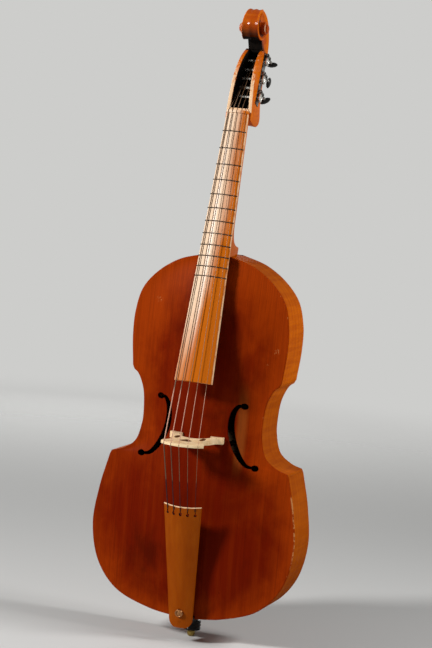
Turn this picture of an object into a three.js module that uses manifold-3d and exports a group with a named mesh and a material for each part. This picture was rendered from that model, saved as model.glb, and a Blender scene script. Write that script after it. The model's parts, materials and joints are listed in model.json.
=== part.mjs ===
// A five-string bass viola da gamba with a carved scroll, geared tuning machines and fixed frets.
// Millimetres. X runs across to the treble side, Y from the belly to the back, Z up the neck.
// The origin lies on the flat back, on its centre line, level with the widest part of the lower bout.

import * as THREE from 'three';
import { mergeVertices } from 'three/addons/utils/BufferGeometryUtils.js';
import Module from 'manifold-3d';

const wasm = await Module();
wasm.setup();

// Body outline
const BODY_LENGTH = 738;
const LOWER_BOUT = 431;
const UPPER_BOUT = 328;
const WAIST = 253;
const CORNER_END = 8.8;
const LOWER_CORNER_TURN = 11;
const UPPER_CORNER_TURN = -21;
const REST_HEIGHT = 175;

// How finely the outline's curves are divided
const LOWER_STEPS = 12;
const WAIST_STEPS = 10;
const UPPER_STEPS = 10;

// Body depth and plates
const BODY_DEPTH = 104;
const TOP_DEPTH = 87;
const FOLD_FROM_TOP = 138;
const EDGE = 4.5;
const BELLY_PLATE = 4;
const BACK_PLATE = 4;
const ARCH = 24;
const RIB = 2.5;
const LINING_WIDTH = 5;
const LINING_HEIGHT = 12;
const GLUE = 0.2;

// Inner pieces
const CORNER_BLOCK = 30;
const TAIL_BLOCK_WIDTH = 76;
const TAIL_BLOCK_DEPTH = 34;
const NECK_BLOCK_WIDTH = 66;
const NECK_BLOCK_DEPTH = 42;
const BAR_FROM_BOTTOM = 158;
const BAR_FROM_TOP = 110;
const BAR_WIDTH = 10;
const BAR_DEPTH = 22;
const BAR_OFFSET = 36;
const BAR_END_DEPTH = 5.5;
const POST_DIAMETER = 11;
const POST_OFFSET = 42;
const POST_BELOW_BRIDGE = 14;
const BRACE_WIDTH = 14;
const BRACE_DEPTH = 12;
const POST_PLATE_WIDTH = 44;
const POST_PLATE = 3;

// Sound holes
const HOLE_STROKE = 6;
const HOLE_TIP = 2.6;
const HOLE_EYE = 9.5;

// Neck and fingerboard
const CROWN_OVER_BOARD = 28.0186;
const BOARD_RISE = 19.5;
const BOARD_LENGTH = 545;
const BOARD_EDGE = 6;
const BOARD_RADIUS = 62;
const BOARD_HOLLOW = 4;
const NUT_WIDTH = 45;
const BOARD_END_WIDTH = 78.2;
const NUT_LENGTH = 6;
const NUT_RISE = 1.4;
const NECK_DEPTH = 24;
const NECK_DEPTH_AT_HEEL = 31;
const HEEL_LENGTH = 62;
const HEEL_CAP = 30;

// Frets
const FRET_COUNT = 12;
const SEMITONES = 12;
const FRET_WIDTH = 2;
const FRET_RISE = 1.1;
const FRET_SEAT = 1.8;
const FRET_OVERHANG = 0.7;
const FRET_CLEARANCE = 0.15;

// Pegbox
const HEAD_LEAN = 26;
const PEGBOX_LENGTH = 150;
const PEGBOX_WIDTH = 53;
const PEGBOX_TOP_WIDTH = 38;
const PEGBOX_WALL = 7;
const PEGBOX_FLOOR = 6.5;
const CHIN_DEPTH = 62;
const THROAT_DEPTH = 36;
const FLUTE = 2.6;
const BEVEL = 1.6;

// Scroll
const VOLUTE_UP = 172.5;
const VOLUTE_FORWARD = 28;
const VOLUTE_RADIUS = 50;
const VOLUTE_DECAY = 0.163;
const VOLUTE_TURNS = 1.8;
const VOLUTE_NARROW = 24;
const SCROLL_WIDTH = 61;
const EYE_DIAMETER = 17;

// Strings, from the bass side to the treble side
const STRING_RUN = 650;
const BRIDGE_ABOVE_MIDDLE = 0.5;
const STRING_DIAMETERS = [2.2, 1.8, 1.4, 1.1, 0.9];
const STRING_COUNT = STRING_DIAMETERS.length;
const NUT_SPREAD = 36;
const BRIDGE_SPREAD = 71;
const TAIL_SPREAD = 58;
const GROOVE_CLEARANCE = 0.3;
const STRING_SIDES = 6;
const WIND_TURNS = 2.5;
const WIND_STEPS = 10;
const WIND_GAP = 0.6;
const BALL_RADIUS = 2.1;

// Bridge
const BRIDGE_TOP = 127;
const CROWN_RADIUS = 62;
const CROWN_WIDTH = 88;
const BRIDGE_SPAN = 112;
const BRIDGE_FOOT = 26;
const FOOT_HEIGHT = 7;
const BRIDGE_THICKNESS = 13;
const CROWN_THICKNESS = 5;

// Tailpiece and its cord
const TAIL_TOP_HEIGHT = 243;
const TAIL_LENGTH = 262;
const TAIL_RISE = 73;
const TAIL_ANGLE = 11.7;
const TAIL_WIDTH = 78.5;
const TAIL_END_WIDTH = 47;
const TAIL_ARCH = 12;
const TAIL_ROUNDING = 16;
const TAIL_END_ARCH = 6;
const TAIL_PLATE = 5;
const SLOT_EDGE = 4;
const SLOT_LENGTH = 12;
const KEYHOLE_DIAMETER = 5.6;
const KNOB_DIAMETER = 17;
const KNOB_HEIGHT = 5;
const KNOB_STEM = 7;
const KNOB_FROM_END = 34;
const CORD_DIAMETER = 4;
const CORD_SIDES = 8;
const SADDLE_WIDTH = 44;
const SADDLE_LENGTH = 8;
const SADDLE_RISE = 11;

// End collar, pin and clamp screw
const COLLAR_DIAMETER = 37;
const COLLAR_HEIGHT = 31;
const COLLAR_NECK_DIAMETER = 24;
const COLLAR_NECK = 11;
const COLLAR_RIBS = 3;
const COLLAR_RIB_DEPTH = 1;
const STEM_DIAMETER = 23;
const PIN_DIAMETER = 10;
const PIN_CLEARANCE = 0.3;
const PIN_LENGTH = 330;
const FERRULE_DIAMETER = 16;
const FERRULE_HEIGHT = 14;
const SCREW_DIAMETER = 5;
const SCREW_HEAD_DIAMETER = 15;
const SCREW_HEAD_THICKNESS = 4;
const SCREW_HEIGHT = 10;
const SCREW_NECK = 6;

// Tuning machines
const ROLLER_FIRST = 42;
const LAST_ROLLER_BELOW_TOP = 26;
const ROLLER_DEPTH = 20;
const ROLLER_DIAMETER = 7;
const ROLLER_SEAT = 4;
const AXLE_DIAMETER = 5;
const MACHINE_CLEARANCE = 0.3;
const MACHINE_PLATE = 1.5;
const MACHINE_PLATE_FRONT = 11;
const MACHINE_PLATE_WIDTH = 19;
const MACHINE_PLATE_MARGIN = 16;
const SCALLOP = 1.5;
const GEAR_TEETH = 15;
const GEAR_DIAMETER = 16;
const GEAR_WIDTH = 3.4;
const MACHINE_GAP = 0.5;
const TOOTH_HEIGHT = 1.7;
const WORM_DIAMETER = 7.6;
const WORM_ROOT_DIAMETER = 4.2;
const WORM_LENGTH = 10;
const WORM_STEPS = 10;
const MESH_CLEARANCE = 0.35;
const TOOTH_ROOT = 1.5;
const TOOTH_TIP = 0.9;
const THREAD_ROOT = 1.3;
const THREAD_TIP = 0.6;
const KEY_SHAFT_DIAMETER = 4.2;
const KEY_REACH = 33;
const EAR_THICKNESS = 2.5;
const EAR_WALL = 2;
const BUTTON_WIDTH = 23;
const BUTTON_HEIGHT = 15;
const BUTTON_THICKNESS = 8;
const BUTTON_TURNS = [145, 60, 95, 130, 170];

// Shapes in shares, chosen by hand: half width against the bout, height against the body
const lowerBoutShares = [[0, 0], [0.367, 0.0142], [0.715, 0.0535], [0.914, 0.1233], [0.998, 0.2236],
  [0.962, 0.329], [0.886, 0.4234]];
const upperBoutShares = [[0.962, 0.6762], [0.997, 0.7588], [0.988, 0.8266], [0.915, 0.8902],
  [0.738, 0.9397], [0.476, 0.979], [0.165, 1]];
// The waist: how far up between its two corners, and how far out from the waist to the corner
const waistShares = [[0.042, 0.625], [0.153, 0.208], [0.374, 0.017], [0.549, 0], [0.764, 0.143],
  [0.892, 0.43], [0.965, 0.71]];
// A sound hole's middle line: half width against the waist, height against the body
const holeShares = [[0.704, 0.6043], [0.593, 0.5772], [0.526, 0.538], [0.538, 0.5068], [0.617, 0.4743],
  [0.759, 0.4512], [0.98, 0.4377]];
// The pegbox seen from the side: place along its length, its back edge and its bowed front edge against the chin
const pegboxShares = [[-0.1, 0.5, 0.1], [-0.055, 0.8, 0.05], [0.01, 0.96, 0], [0.08, 1, -0.07], [0.17, 0.9, -0.145],
  [0.27, 0.77, -0.21], [0.38, 0.71, -0.275], [0.5, 0.65, -0.3], [0.62, 0.61, -0.275], [0.75, 0.58, -0.2],
  [0.87, 0.57, -0.11], [0.96, 0.57, -0.03]];

// The bridge's edge below its crown: half width against the span, height from ankle to shoulder
const bridgeEdgeShares = [[0.768, 0.92], [0.625, 0.8], [0.554, 0.58], [0.679, 0.4], [0.786, 0.1], [0.857, 0]];
const bridgeArchShares = [[0.625, 0.03], [0.5, 0.2], [0.268, 0.34], [0, 0.38]];
// Round windows in the bridge: place across, height between the feet and the crown, and width, against half the crown
const bridgeWindows = [[-0.12, 0.62, 0.3], [0.12, 0.62, 0.3], [0, 0.57, 0.3], [-0.48, 0.52, 0.26], [0.48, 0.52, 0.26],
  [-0.44, 0.62, 0.2], [0.44, 0.62, 0.2]];

// Places worked out from the sizes
const BOTTOM = -REST_HEIGHT;
const TOP = BOTTOM + BODY_LENGTH;
const FRONT = -BODY_DEPTH;
const MIDDLE = -BODY_DEPTH / 2;
const FOLD = TOP - FOLD_FROM_TOP;
const BRIDGE_Z = BOTTOM + BODY_LENGTH / 2 + BRIDGE_ABOVE_MIDDLE;
const NUT_Z = BRIDGE_Z + STRING_RUN;
// The neck leans back so far that the bridge's crown stands its height over the glued face's line
const neckSlope = (BRIDGE_TOP - CROWN_OVER_BOARD - BOARD_RISE + BOARD_EDGE) / (TOP - BRIDGE_Z);
const neckTurn = Math.atan(neckSlope);
const OVERRUN = BODY_DEPTH;
const STRING_STEP = 1 / (STRING_COUNT - 1);

const materials = {
  belly: new THREE.MeshStandardMaterial({ color: 0x5a1f10, roughness: 0.35 }),
  amber: new THREE.MeshStandardMaterial({ color: 0xa85a1e, roughness: 0.35 }),
  scroll: new THREE.MeshStandardMaterial({ color: 0x9c3f12, roughness: 0.3 }),
  maple: new THREE.MeshStandardMaterial({ color: 0xd9b48a, roughness: 0.5 }),
  spruce: new THREE.MeshStandardMaterial({ color: 0xdcc08f, roughness: 0.7 }),
  ebony: new THREE.MeshStandardMaterial({ color: 0x15110f, roughness: 0.4 }),
  gut: new THREE.MeshStandardMaterial({ color: 0xd8d0b8, roughness: 0.4 }),
  steel: new THREE.MeshStandardMaterial({ color: 0xb9bcc0, roughness: 0.3, metalness: 1 }),
  brass: new THREE.MeshStandardMaterial({ color: 0x9a8440, roughness: 0.35, metalness: 1 }),
};

// Solids

function closedGeometry(triangles) {
  const positions = new Float32Array(triangles.length * 9);
  triangles.forEach((corners, index) => {
    corners.forEach((corner, side) => corner.toArray(positions, index * 9 + side * 3));
  });
  const loose = new THREE.BufferGeometry();
  loose.setAttribute('position', new THREE.BufferAttribute(positions, 3));
  return facingOut(mergeVertices(loose, 1e-3));
}

function facingOut(geometry) {
  const position = geometry.getAttribute('position');
  const index = geometry.getIndex().array;
  const kept = [];
  const [a, b, c] = [new THREE.Vector3(), new THREE.Vector3(), new THREE.Vector3()];
  let volume = 0;
  for (let i = 0; i < index.length; i += 3) {
    const [p, q, r] = [index[i], index[i + 1], index[i + 2]];
    if (p === q || q === r || r === p) continue;
    kept.push(p, q, r);
    a.fromBufferAttribute(position, p);
    b.fromBufferAttribute(position, q);
    c.fromBufferAttribute(position, r);
    volume += a.dot(b.cross(c));
  }
  if (volume < 0) kept.reverse();
  geometry.setIndex(kept);
  return geometry;
}

function bare(geometry) {
  const copy = geometry.clone();
  Object.keys(copy.attributes).filter((name) => name !== 'position').forEach((name) => copy.deleteAttribute(name));
  return facingOut(mergeVertices(copy, 1e-3));
}

function solidOf(geometry) {
  const clean = bare(geometry);
  return new wasm.Manifold(new wasm.Mesh({
    numProp: 3,
    vertProperties: new Float32Array(clean.getAttribute('position').array),
    triVerts: new Uint32Array(clean.getIndex().array),
  }));
}

function geometryOf(solid) {
  const mesh = solid.getMesh();
  const geometry = new THREE.BufferGeometry();
  geometry.setAttribute('position', new THREE.BufferAttribute(new Float32Array(mesh.vertProperties), 3));
  geometry.setIndex(new THREE.BufferAttribute(new Uint32Array(mesh.triVerts), 1));
  return geometry;
}

function joined(geometries) {
  return geometryOf(geometries.map(solidOf).reduce((sum, next) => sum.add(next)));
}

function cut(geometry, cutters) {
  return geometryOf(cutters.map(solidOf).reduce((rest, next) => rest.subtract(next), solidOf(geometry)));
}

function common(first, second) {
  return geometryOf(solidOf(first).intersect(solidOf(second)));
}

function capOf(ring) {
  const normal = new THREE.Vector3();
  ring.forEach((point, i) => normal.add(new THREE.Vector3().crossVectors(point, ring[(i + 1) % ring.length])));
  normal.normalize();
  const across = new THREE.Vector3(1, 0, 0).cross(normal);
  if (across.length() < 0.5) across.set(0, 1, 0).cross(normal);
  across.normalize();
  const up = new THREE.Vector3().crossVectors(normal, across);
  const flat = ring.map((point) => new THREE.Vector2(point.dot(across), point.dot(up)));
  return THREE.ShapeUtils.triangulateShape(flat, []).map((corners) => corners.map((corner) => ring[corner]));
}

function loft(rings) {
  const triangles = [];
  for (let i = 0; i + 1 < rings.length; i += 1) {
    const [low, high] = [rings[i], rings[i + 1]];
    for (let j = 0; j < low.length; j += 1) {
      const next = (j + 1) % low.length;
      triangles.push([low[j], low[next], high[next]], [low[j], high[next], high[j]]);
    }
  }
  capOf(rings[0]).forEach(([p, q, r]) => triangles.push([r, q, p]));
  capOf(rings[rings.length - 1]).forEach((corners) => triangles.push(corners));
  return closedGeometry(triangles);
}

function prismAlongY(outline, front, back) {
  return loft([front, back].map((y) => outline.map(([x, z]) => new THREE.Vector3(x, y, z))));
}

function box(low, high) {
  const size = high.map((value, axis) => value - low[axis]);
  const centre = high.map((value, axis) => (value + low[axis]) / 2);
  return new THREE.BoxGeometry(...size).translate(...centre);
}

function rod(from, to, diameter, sides = 20) {
  const axis = new THREE.Vector3().subVectors(to, from);
  const geometry = new THREE.CylinderGeometry(diameter / 2, diameter / 2, axis.length(), sides);
  const turn = new THREE.Quaternion().setFromUnitVectors(new THREE.Vector3(0, 1, 0), axis.clone().normalize());
  return geometry.applyQuaternion(turn).translate(...from.clone().add(to).multiplyScalar(0.5).toArray());
}

function tube(points, radii, sides) {
  const directions = points.map((point, i) => {
    const before = points[Math.max(i - 1, 0)];
    const after = points[Math.min(i + 1, points.length - 1)];
    const into = point.clone().sub(before).normalize();
    const out = after.clone().sub(point).normalize();
    return into.add(out).normalize();
  });
  let side = new THREE.Vector3(1, 0, 0);
  const rings = points.map((point, i) => {
    side = side.clone().addScaledVector(directions[i], -side.dot(directions[i])).normalize();
    const up = new THREE.Vector3().crossVectors(directions[i], side);
    return Array.from({ length: sides }, (_, k) => {
      const turn = (2 * Math.PI * k) / sides;
      return point.clone()
        .addScaledVector(side, radii[i] * Math.cos(turn))
        .addScaledVector(up, radii[i] * Math.sin(turn));
    });
  });
  return loft(rings);
}

function smooth(points, divisions) {
  const curve = new THREE.CatmullRomCurve3(points.map(([x, z]) => new THREE.Vector3(x, 0, z)), false, 'centripetal');
  return curve.getPoints(divisions).map((point) => [point.x, point.z]);
}

function blend(from, to, share) {
  return from + (to - from) * share;
}

function tableValue(table, at, column) {
  const next = table.findIndex((row) => row[0] >= at);
  if (next === -1) return table[table.length - 1][column];
  if (next === 0) return table[0][column];
  const [low, high] = [table[next - 1], table[next]];
  return blend(low[column], high[column], (at - low[0]) / (high[0] - low[0]));
}

// Outline

function outlineParts() {
  const lower = smooth(lowerBoutShares.map(([x, z]) => [x * LOWER_BOUT / 2, BOTTOM + z * BODY_LENGTH]), LOWER_STEPS);
  const upper = smooth(upperBoutShares.map(([x, z]) => [x * UPPER_BOUT / 2, BOTTOM + z * BODY_LENGTH]), UPPER_STEPS);
  const cornerAfter = (end, before) => {
    const run = new THREE.Vector2(end[0] - before[0], end[1] - before[1]).normalize();
    return [end[0], end[1], run];
  };
  const [lowX, lowZ, lowRun] = cornerAfter(lower[lower.length - 1], lower[lower.length - 2]);
  const [highX, highZ, highRun] = cornerAfter(upper[0], upper[1]);
  const bent = (run, degrees) => run.clone().rotateAround(new THREE.Vector2(), THREE.MathUtils.degToRad(degrees));
  const lowEnd = bent(lowRun, LOWER_CORNER_TURN).multiplyScalar(CORNER_END);
  const highEnd = bent(highRun, UPPER_CORNER_TURN).multiplyScalar(CORNER_END);
  const lowCorner = [lowX + lowEnd.x, lowZ + lowEnd.y];
  const highCorner = [highX + highEnd.x, highZ + highEnd.y];
  const waist = waistShares.map(([up, out]) => {
    const corner = up < 0.5 ? lowCorner : highCorner;
    return [blend(WAIST / 2, corner[0], out), blend(lowCorner[1], highCorner[1], up)];
  });
  return { lower, waist: smooth([lowCorner, ...waist, highCorner], WAIST_STEPS), upper };
}

const parts = outlineParts();
const halfOutline = [...parts.lower, ...parts.waist, ...parts.upper];

function wholeOutline() {
  const right = halfOutline.slice(1);
  const left = right.map(([x, z]) => [-x, z]).reverse();
  return [halfOutline[0], ...right, ...left];
}

function inward(points, index, closed) {
  const count = points.length;
  const before = closed ? points[(index + count - 1) % count] : points[Math.max(index - 1, 0)];
  const after = closed ? points[(index + 1) % count] : points[Math.min(index + 1, count - 1)];
  const point = points[index];
  const normals = [[before, point], [point, after]]
    .map(([p, q]) => new THREE.Vector2(-(q[1] - p[1]), q[0] - p[0]))
    .filter((normal) => normal.length() > 0)
    .map((normal) => normal.normalize());
  const sum = normals.reduce((total, normal) => total.clone().add(normal)).normalize();
  return sum.divideScalar(Math.max(sum.dot(normals[0]), 0.35));
}

function offset(points, distance, closed) {
  return points.map((point, i) => {
    const normal = inward(points, i, closed);
    return [point[0] + normal.x * distance, point[1] + normal.y * distance];
  });
}

// Plates: rings of points that close in from the outline to a line along the middle

const edgeLevel = 0.065;
const archLevels = [0, edgeLevel, 0.2, 0.42, 0.7, 1];

function plate(levels, frontOf, backOf, spineOf) {
  const outline = wholeOutline();
  const at = (level, i, depthOf) => {
    const [x, z] = outline[i];
    const spine = spineOf(z);
    const point = [x * (1 - level), blend(z, spine, level)];
    return new THREE.Vector3(point[0], depthOf(level, point[1]), point[1]);
  };
  const triangles = [];
  outline.forEach((_, i) => {
    const next = (i + 1) % outline.length;
    for (let k = 0; k + 1 < levels.length; k += 1) {
      const [outer, inner] = [levels[k], levels[k + 1]];
      [frontOf, backOf].forEach((depthOf, face) => {
        const corners = [at(outer, i, depthOf), at(outer, next, depthOf), at(inner, next, depthOf), at(inner, i, depthOf)];
        if (face) corners.reverse();
        triangles.push([corners[0], corners[1], corners[2]], [corners[0], corners[2], corners[3]]);
      });
    }
    const rim = [at(0, next, frontOf), at(0, i, frontOf), at(0, i, backOf), at(0, next, backOf)];
    triangles.push([rim[0], rim[1], rim[2]], [rim[0], rim[2], rim[3]]);
  });
  return closedGeometry(triangles);
}

const spineShare = 0.72;
const bellySpine = (z) => blend(BOTTOM, TOP, 0.5 + spineShare * ((z - BOTTOM) / BODY_LENGTH - 0.5));
const backSpine = (z) => THREE.MathUtils.clamp(z, BOTTOM + TAIL_BLOCK_DEPTH, TOP - NECK_BLOCK_DEPTH);

function archAt(level) {
  const inside = Math.max(level - edgeLevel, 0) / (1 - edgeLevel);
  return ARCH * (1 - Math.cos(Math.PI * inside ** 0.8)) / 2;
}

const bellyFront = (level) => FRONT - archAt(level);
const bellyBack = (level) => FRONT + (level <= edgeLevel ? EDGE : BELLY_PLATE) - archAt(level);
const backOuter = (z) => (z <= FOLD ? 0 : -(BODY_DEPTH - TOP_DEPTH) * (z - FOLD) / (TOP - FOLD));
const backInner = (z) => backOuter(z) - BACK_PLATE;

function underBelly() {
  return plate(archLevels, () => FRONT - ARCH - OVERRUN, (level) => bellyBack(level) + GLUE, bellySpine);
}

function overBelly() {
  return plate(archLevels, (level) => bellyFront(level) - GLUE, () => FRONT + OVERRUN, bellySpine);
}

function behindBack() {
  return plate([0, 1], (_, z) => backInner(z) - GLUE, () => OVERRUN, backSpine);
}

function soundHole(side) {
  const middle = smooth(holeShares.map(([x, z]) => [x * WAIST / 2, BOTTOM + z * BODY_LENGTH]), 10);
  const widths = middle.map((_, i) => blend(HOLE_TIP, HOLE_STROKE, Math.sin(Math.PI * i / (middle.length - 1))) / 2);
  const normals = middle.map((_, i) => inward(middle, i, false).normalize());
  const edge = (sign) => middle.map(([x, z], i) => [x + sign * widths[i] * normals[i].x, z + sign * widths[i] * normals[i].y]);
  const stroke = [...edge(1), ...edge(-1).reverse()].map(([x, z]) => [side * x, z]);
  const eyes = [middle[0], middle[middle.length - 1]].map(([x, z]) => rod(
    new THREE.Vector3(side * x, FRONT - OVERRUN, z),
    new THREE.Vector3(side * x, FRONT + OVERRUN, z),
    HOLE_EYE,
    12,
  ));
  return [prismAlongY(stroke, FRONT - OVERRUN, FRONT + OVERRUN), ...eyes];
}

function belly() {
  const blank = plate(archLevels, bellyFront, bellyBack, bellySpine);
  return cut(blank, [...soundHole(1), ...soundHole(-1)]);
}

function back() {
  return plate([0, 1], (_, z) => backInner(z), (_, z) => backOuter(z), backSpine);
}

// Ribs with their linings

function strip(points, near, far, fromFront, fromBack) {
  const onItsSide = ([x, z]) => [Math.max(x, GLUE), z];
  const outer = offset(points, near, false).map(onItsSide);
  const inner = offset(points, far, false).map(onItsSide);
  return loft(outer.map((_, i) => [
    new THREE.Vector3(outer[i][0], fromFront(outer[i][1]), outer[i][1]),
    new THREE.Vector3(outer[i][0], fromBack(outer[i][1]), outer[i][1]),
    new THREE.Vector3(inner[i][0], fromBack(inner[i][1]), inner[i][1]),
    new THREE.Vector3(inner[i][0], fromFront(inner[i][1]), inner[i][1]),
  ]));
}

const ribFront = () => FRONT + EDGE;
const ribBack = (z) => backInner(z) - GLUE;

function cornerMiddle(first, second, share) {
  return [blend(first[0], second[0], share), blend(first[1], second[1], share)];
}

function withEnds(points, before, after) {
  const apart = GLUE / CORNER_END;
  const start = before ? [cornerMiddle(points[0], before, 0.5 - apart)] : [];
  const end = after ? [cornerMiddle(points[points.length - 1], after, 0.5 - apart)] : [];
  return [...start, ...points, ...end];
}

const lowerLast = parts.lower[parts.lower.length - 1];
const waistLast = parts.waist[parts.waist.length - 1];
const ribPaths = {
  lower: [[GLUE, BOTTOM], ...withEnds(parts.lower.slice(1), null, parts.waist[0])],
  waist: withEnds(parts.waist, lowerLast, parts.upper[0]),
  upper: [...withEnds(parts.upper, waistLast, null), [GLUE, TOP]],
};

function farFrom(points, places, distance) {
  return points.filter(([x, z]) => places.every(([px, pz]) => Math.hypot(x - px, z - pz) > distance));
}

function rib(path, side) {
  const wall = strip(path, 0, RIB, ribFront, ribBack);
  const ends = [path[0], path[path.length - 1]];
  const middleRun = farFrom(path, ends, Math.max(CORNER_BLOCK, TAIL_BLOCK_WIDTH / 2) + LINING_WIDTH);
  const linings = [
    strip(middleRun, RIB / 2, RIB + LINING_WIDTH, ribFront, () => FRONT + EDGE + LINING_HEIGHT),
    strip(middleRun, RIB / 2, RIB + LINING_WIDTH, (z) => ribBack(z) - LINING_HEIGHT, ribBack),
  ];
  const whole = joined([wall, ...linings]);
  return side > 0 ? whole : mirrored(whole);
}

function mirrored(geometry) {
  return facingOut(bare(geometry).scale(-1, 1, 1));
}

// Pieces inside the body

const innerOutline = offset(wholeOutline(), RIB + GLUE, true);

function fitted(outline, shape) {
  const blank = common(prismAlongY(outline, FRONT - ARCH, 0), shape);
  return cut(blank, [underBelly(), behindBack()]);
}

function cornerBlock(corner, side) {
  const from = new THREE.Vector3(side * corner[0], FRONT - OVERRUN, corner[1]);
  const to = new THREE.Vector3(side * corner[0], OVERRUN, corner[1]);
  return fitted(innerOutline, rod(from, to, CORNER_BLOCK * 2, 24));
}

function stemHole() {
  const from = new THREE.Vector3(0, MIDDLE, BOTTOM - OVERRUN);
  const to = new THREE.Vector3(0, MIDDLE, BOTTOM + OVERRUN);
  return rod(from, to, STEM_DIAMETER + 2 * PIN_CLEARANCE, 24);
}

function tailBlock() {
  const width = TAIL_BLOCK_WIDTH / 2;
  const shape = box([-width, FRONT - OVERRUN, BOTTOM], [width, OVERRUN, BOTTOM + TAIL_BLOCK_DEPTH]);
  return cut(fitted(innerOutline, shape), [stemHole()]);
}

function neckBlock() {
  const width = NECK_BLOCK_WIDTH / 2;
  return fitted(innerOutline, box([-width, FRONT - OVERRUN, TOP - NECK_BLOCK_DEPTH], [width, OVERRUN, TOP]));
}

function bassBar() {
  const [low, high] = [BOTTOM + BAR_FROM_BOTTOM, TOP - BAR_FROM_TOP];
  const under = [];
  const steps = 8;
  for (let i = 0; i <= steps; i += 1) {
    const depth = blend(BAR_DEPTH, BAR_END_DEPTH, (2 * i / steps - 1) ** 2);
    under.push([blend(low, high, i / steps), FRONT - ARCH + BELLY_PLATE + depth]);
  }
  const edge = [...under, [high, FRONT - ARCH], [low, FRONT - ARCH]];
  const blank = loft([-BAR_OFFSET - BAR_WIDTH / 2, -BAR_OFFSET + BAR_WIDTH / 2]
    .map((x) => edge.map(([z, y]) => new THREE.Vector3(x, y, z))));
  return cut(blank, [underBelly()]);
}

function brace(z, width, depth) {
  const inside = offset(wholeOutline(), RIB + LINING_WIDTH + GLUE, true);
  const shape = box([-LOWER_BOUT, -BACK_PLATE - GLUE - depth, z - width / 2], [LOWER_BOUT, 0, z + width / 2]);
  return fitted(inside, shape);
}

const postZ = BRIDGE_Z - POST_BELOW_BRIDGE;

function soundPost() {
  const from = new THREE.Vector3(POST_OFFSET, FRONT - ARCH, postZ);
  const to = new THREE.Vector3(POST_OFFSET, -BACK_PLATE - POST_PLATE - 2 * GLUE, postZ);
  return cut(rod(from, to, POST_DIAMETER, 16), [underBelly()]);
}

// Fingerboard frame: its origin lies on the glued face at the nut, Z runs up the neck

const glueFaceY = (z) => FRONT - BOARD_RISE + BOARD_EDGE + (z - TOP) * neckSlope;
const boardFrame = new THREE.Matrix4()
  .makeRotationX(-neckTurn)
  .setPosition(0, glueFaceY(NUT_Z), NUT_Z);
const boardWidthAt = (down) => blend(NUT_WIDTH, BOARD_END_WIDTH, down / BOARD_LENGTH);

function arc(radius, halfWidth, steps) {
  const half = Math.asin(Math.min(halfWidth / radius, 1));
  return Array.from({ length: steps + 1 }, (_, i) => {
    const turn = half * (2 * i / steps - 1);
    return [radius * Math.sin(turn), radius * Math.cos(turn)];
  });
}

const archOver = (radius, width) => radius - Math.sqrt(Math.max(radius ** 2 - (width / 2) ** 2, 0));

function boardTopAt(x, down) {
  const sagitta = archOver(BOARD_RADIUS, boardWidthAt(down));
  return -(BOARD_EDGE + sagitta - archOver(BOARD_RADIUS, 2 * Math.abs(x)));
}

function boardSection(down, steps) {
  const half = boardWidthAt(down) / 2;
  const top = arc(BOARD_RADIUS, half, steps).map(([x]) => new THREE.Vector3(x, boardTopAt(x, down), -down));
  return [...top, new THREE.Vector3(half, -GLUE, -down), new THREE.Vector3(-half, -GLUE, -down)];
}

function fretBand(down, rise, seat, width, overhang) {
  const sagitta = archOver(BOARD_RADIUS, boardWidthAt(down));
  const centre = -(BOARD_EDGE + sagitta) + BOARD_RADIUS;
  const half = boardWidthAt(down) / 2 + overhang;
  const outer = arc(BOARD_RADIUS + rise, half * (BOARD_RADIUS + rise) / BOARD_RADIUS, 6);
  const inner = arc(BOARD_RADIUS - seat, half * (BOARD_RADIUS - seat) / BOARD_RADIUS, 6);
  const edge = [...outer, ...inner.reverse()];
  return loft([-width / 2, width / 2].map((along) => edge.map(([x, out]) => new THREE.Vector3(x, centre - out, along - down))));
}

const fretDown = (number) => (1 - 2 ** (-number / SEMITONES)) * STRING_RUN / Math.cos(neckTurn);

const hollowShares = [-1, -0.5, 0, 0.5, 1];

function fingerboard() {
  const blank = loft([0, BOARD_LENGTH].map((down) => boardSection(down, 6)));
  const neckRun = (NUT_Z - TOP) / Math.cos(neckTurn);
  const hollow = [neckRun + BOARD_EDGE, BOARD_LENGTH + BOARD_EDGE].map((down) => {
    const half = boardWidthAt(down) / 2 - BOARD_EDGE;
    return hollowShares
      .map((share) => new THREE.Vector3(share * half, -BOARD_HOLLOW * (1 - share ** 2), -down))
      .concat([new THREE.Vector3(half, BOARD_EDGE, -down), new THREE.Vector3(-half, BOARD_EDGE, -down)]);
  });
  const slots = fretNumbers.map((number) => fretBand(
    fretDown(number),
    BOARD_EDGE,
    FRET_SEAT + FRET_CLEARANCE,
    FRET_WIDTH + 2 * FRET_CLEARANCE,
    FRET_OVERHANG,
  ));
  return cut(blank, [loft(hollow), ...slots]).applyMatrix4(boardFrame);
}

const fretNumbers = Array.from({ length: FRET_COUNT }, (_, i) => i + 1);

function fret(number) {
  return fretBand(fretDown(number), FRET_RISE, FRET_SEAT, FRET_WIDTH, FRET_OVERHANG).applyMatrix4(boardFrame);
}

function nut() {
  const rise = NUT_RISE + STRING_DIAMETERS[0] / 2;
  const section = (along) => {
    const ring = boardSection(0, 6);
    return ring.map((point) => new THREE.Vector3(point.x, point.y < -GLUE ? point.y - rise : point.y, along));
  };
  const blank = loft([GLUE, NUT_LENGTH].map(section)).applyMatrix4(boardFrame);
  return cut(blank, stringNumbers.map((i) => stringRoute(i, GROOVE_CLEARANCE)));
}

// Neck: D-shaped sections that drop into the heel

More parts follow.
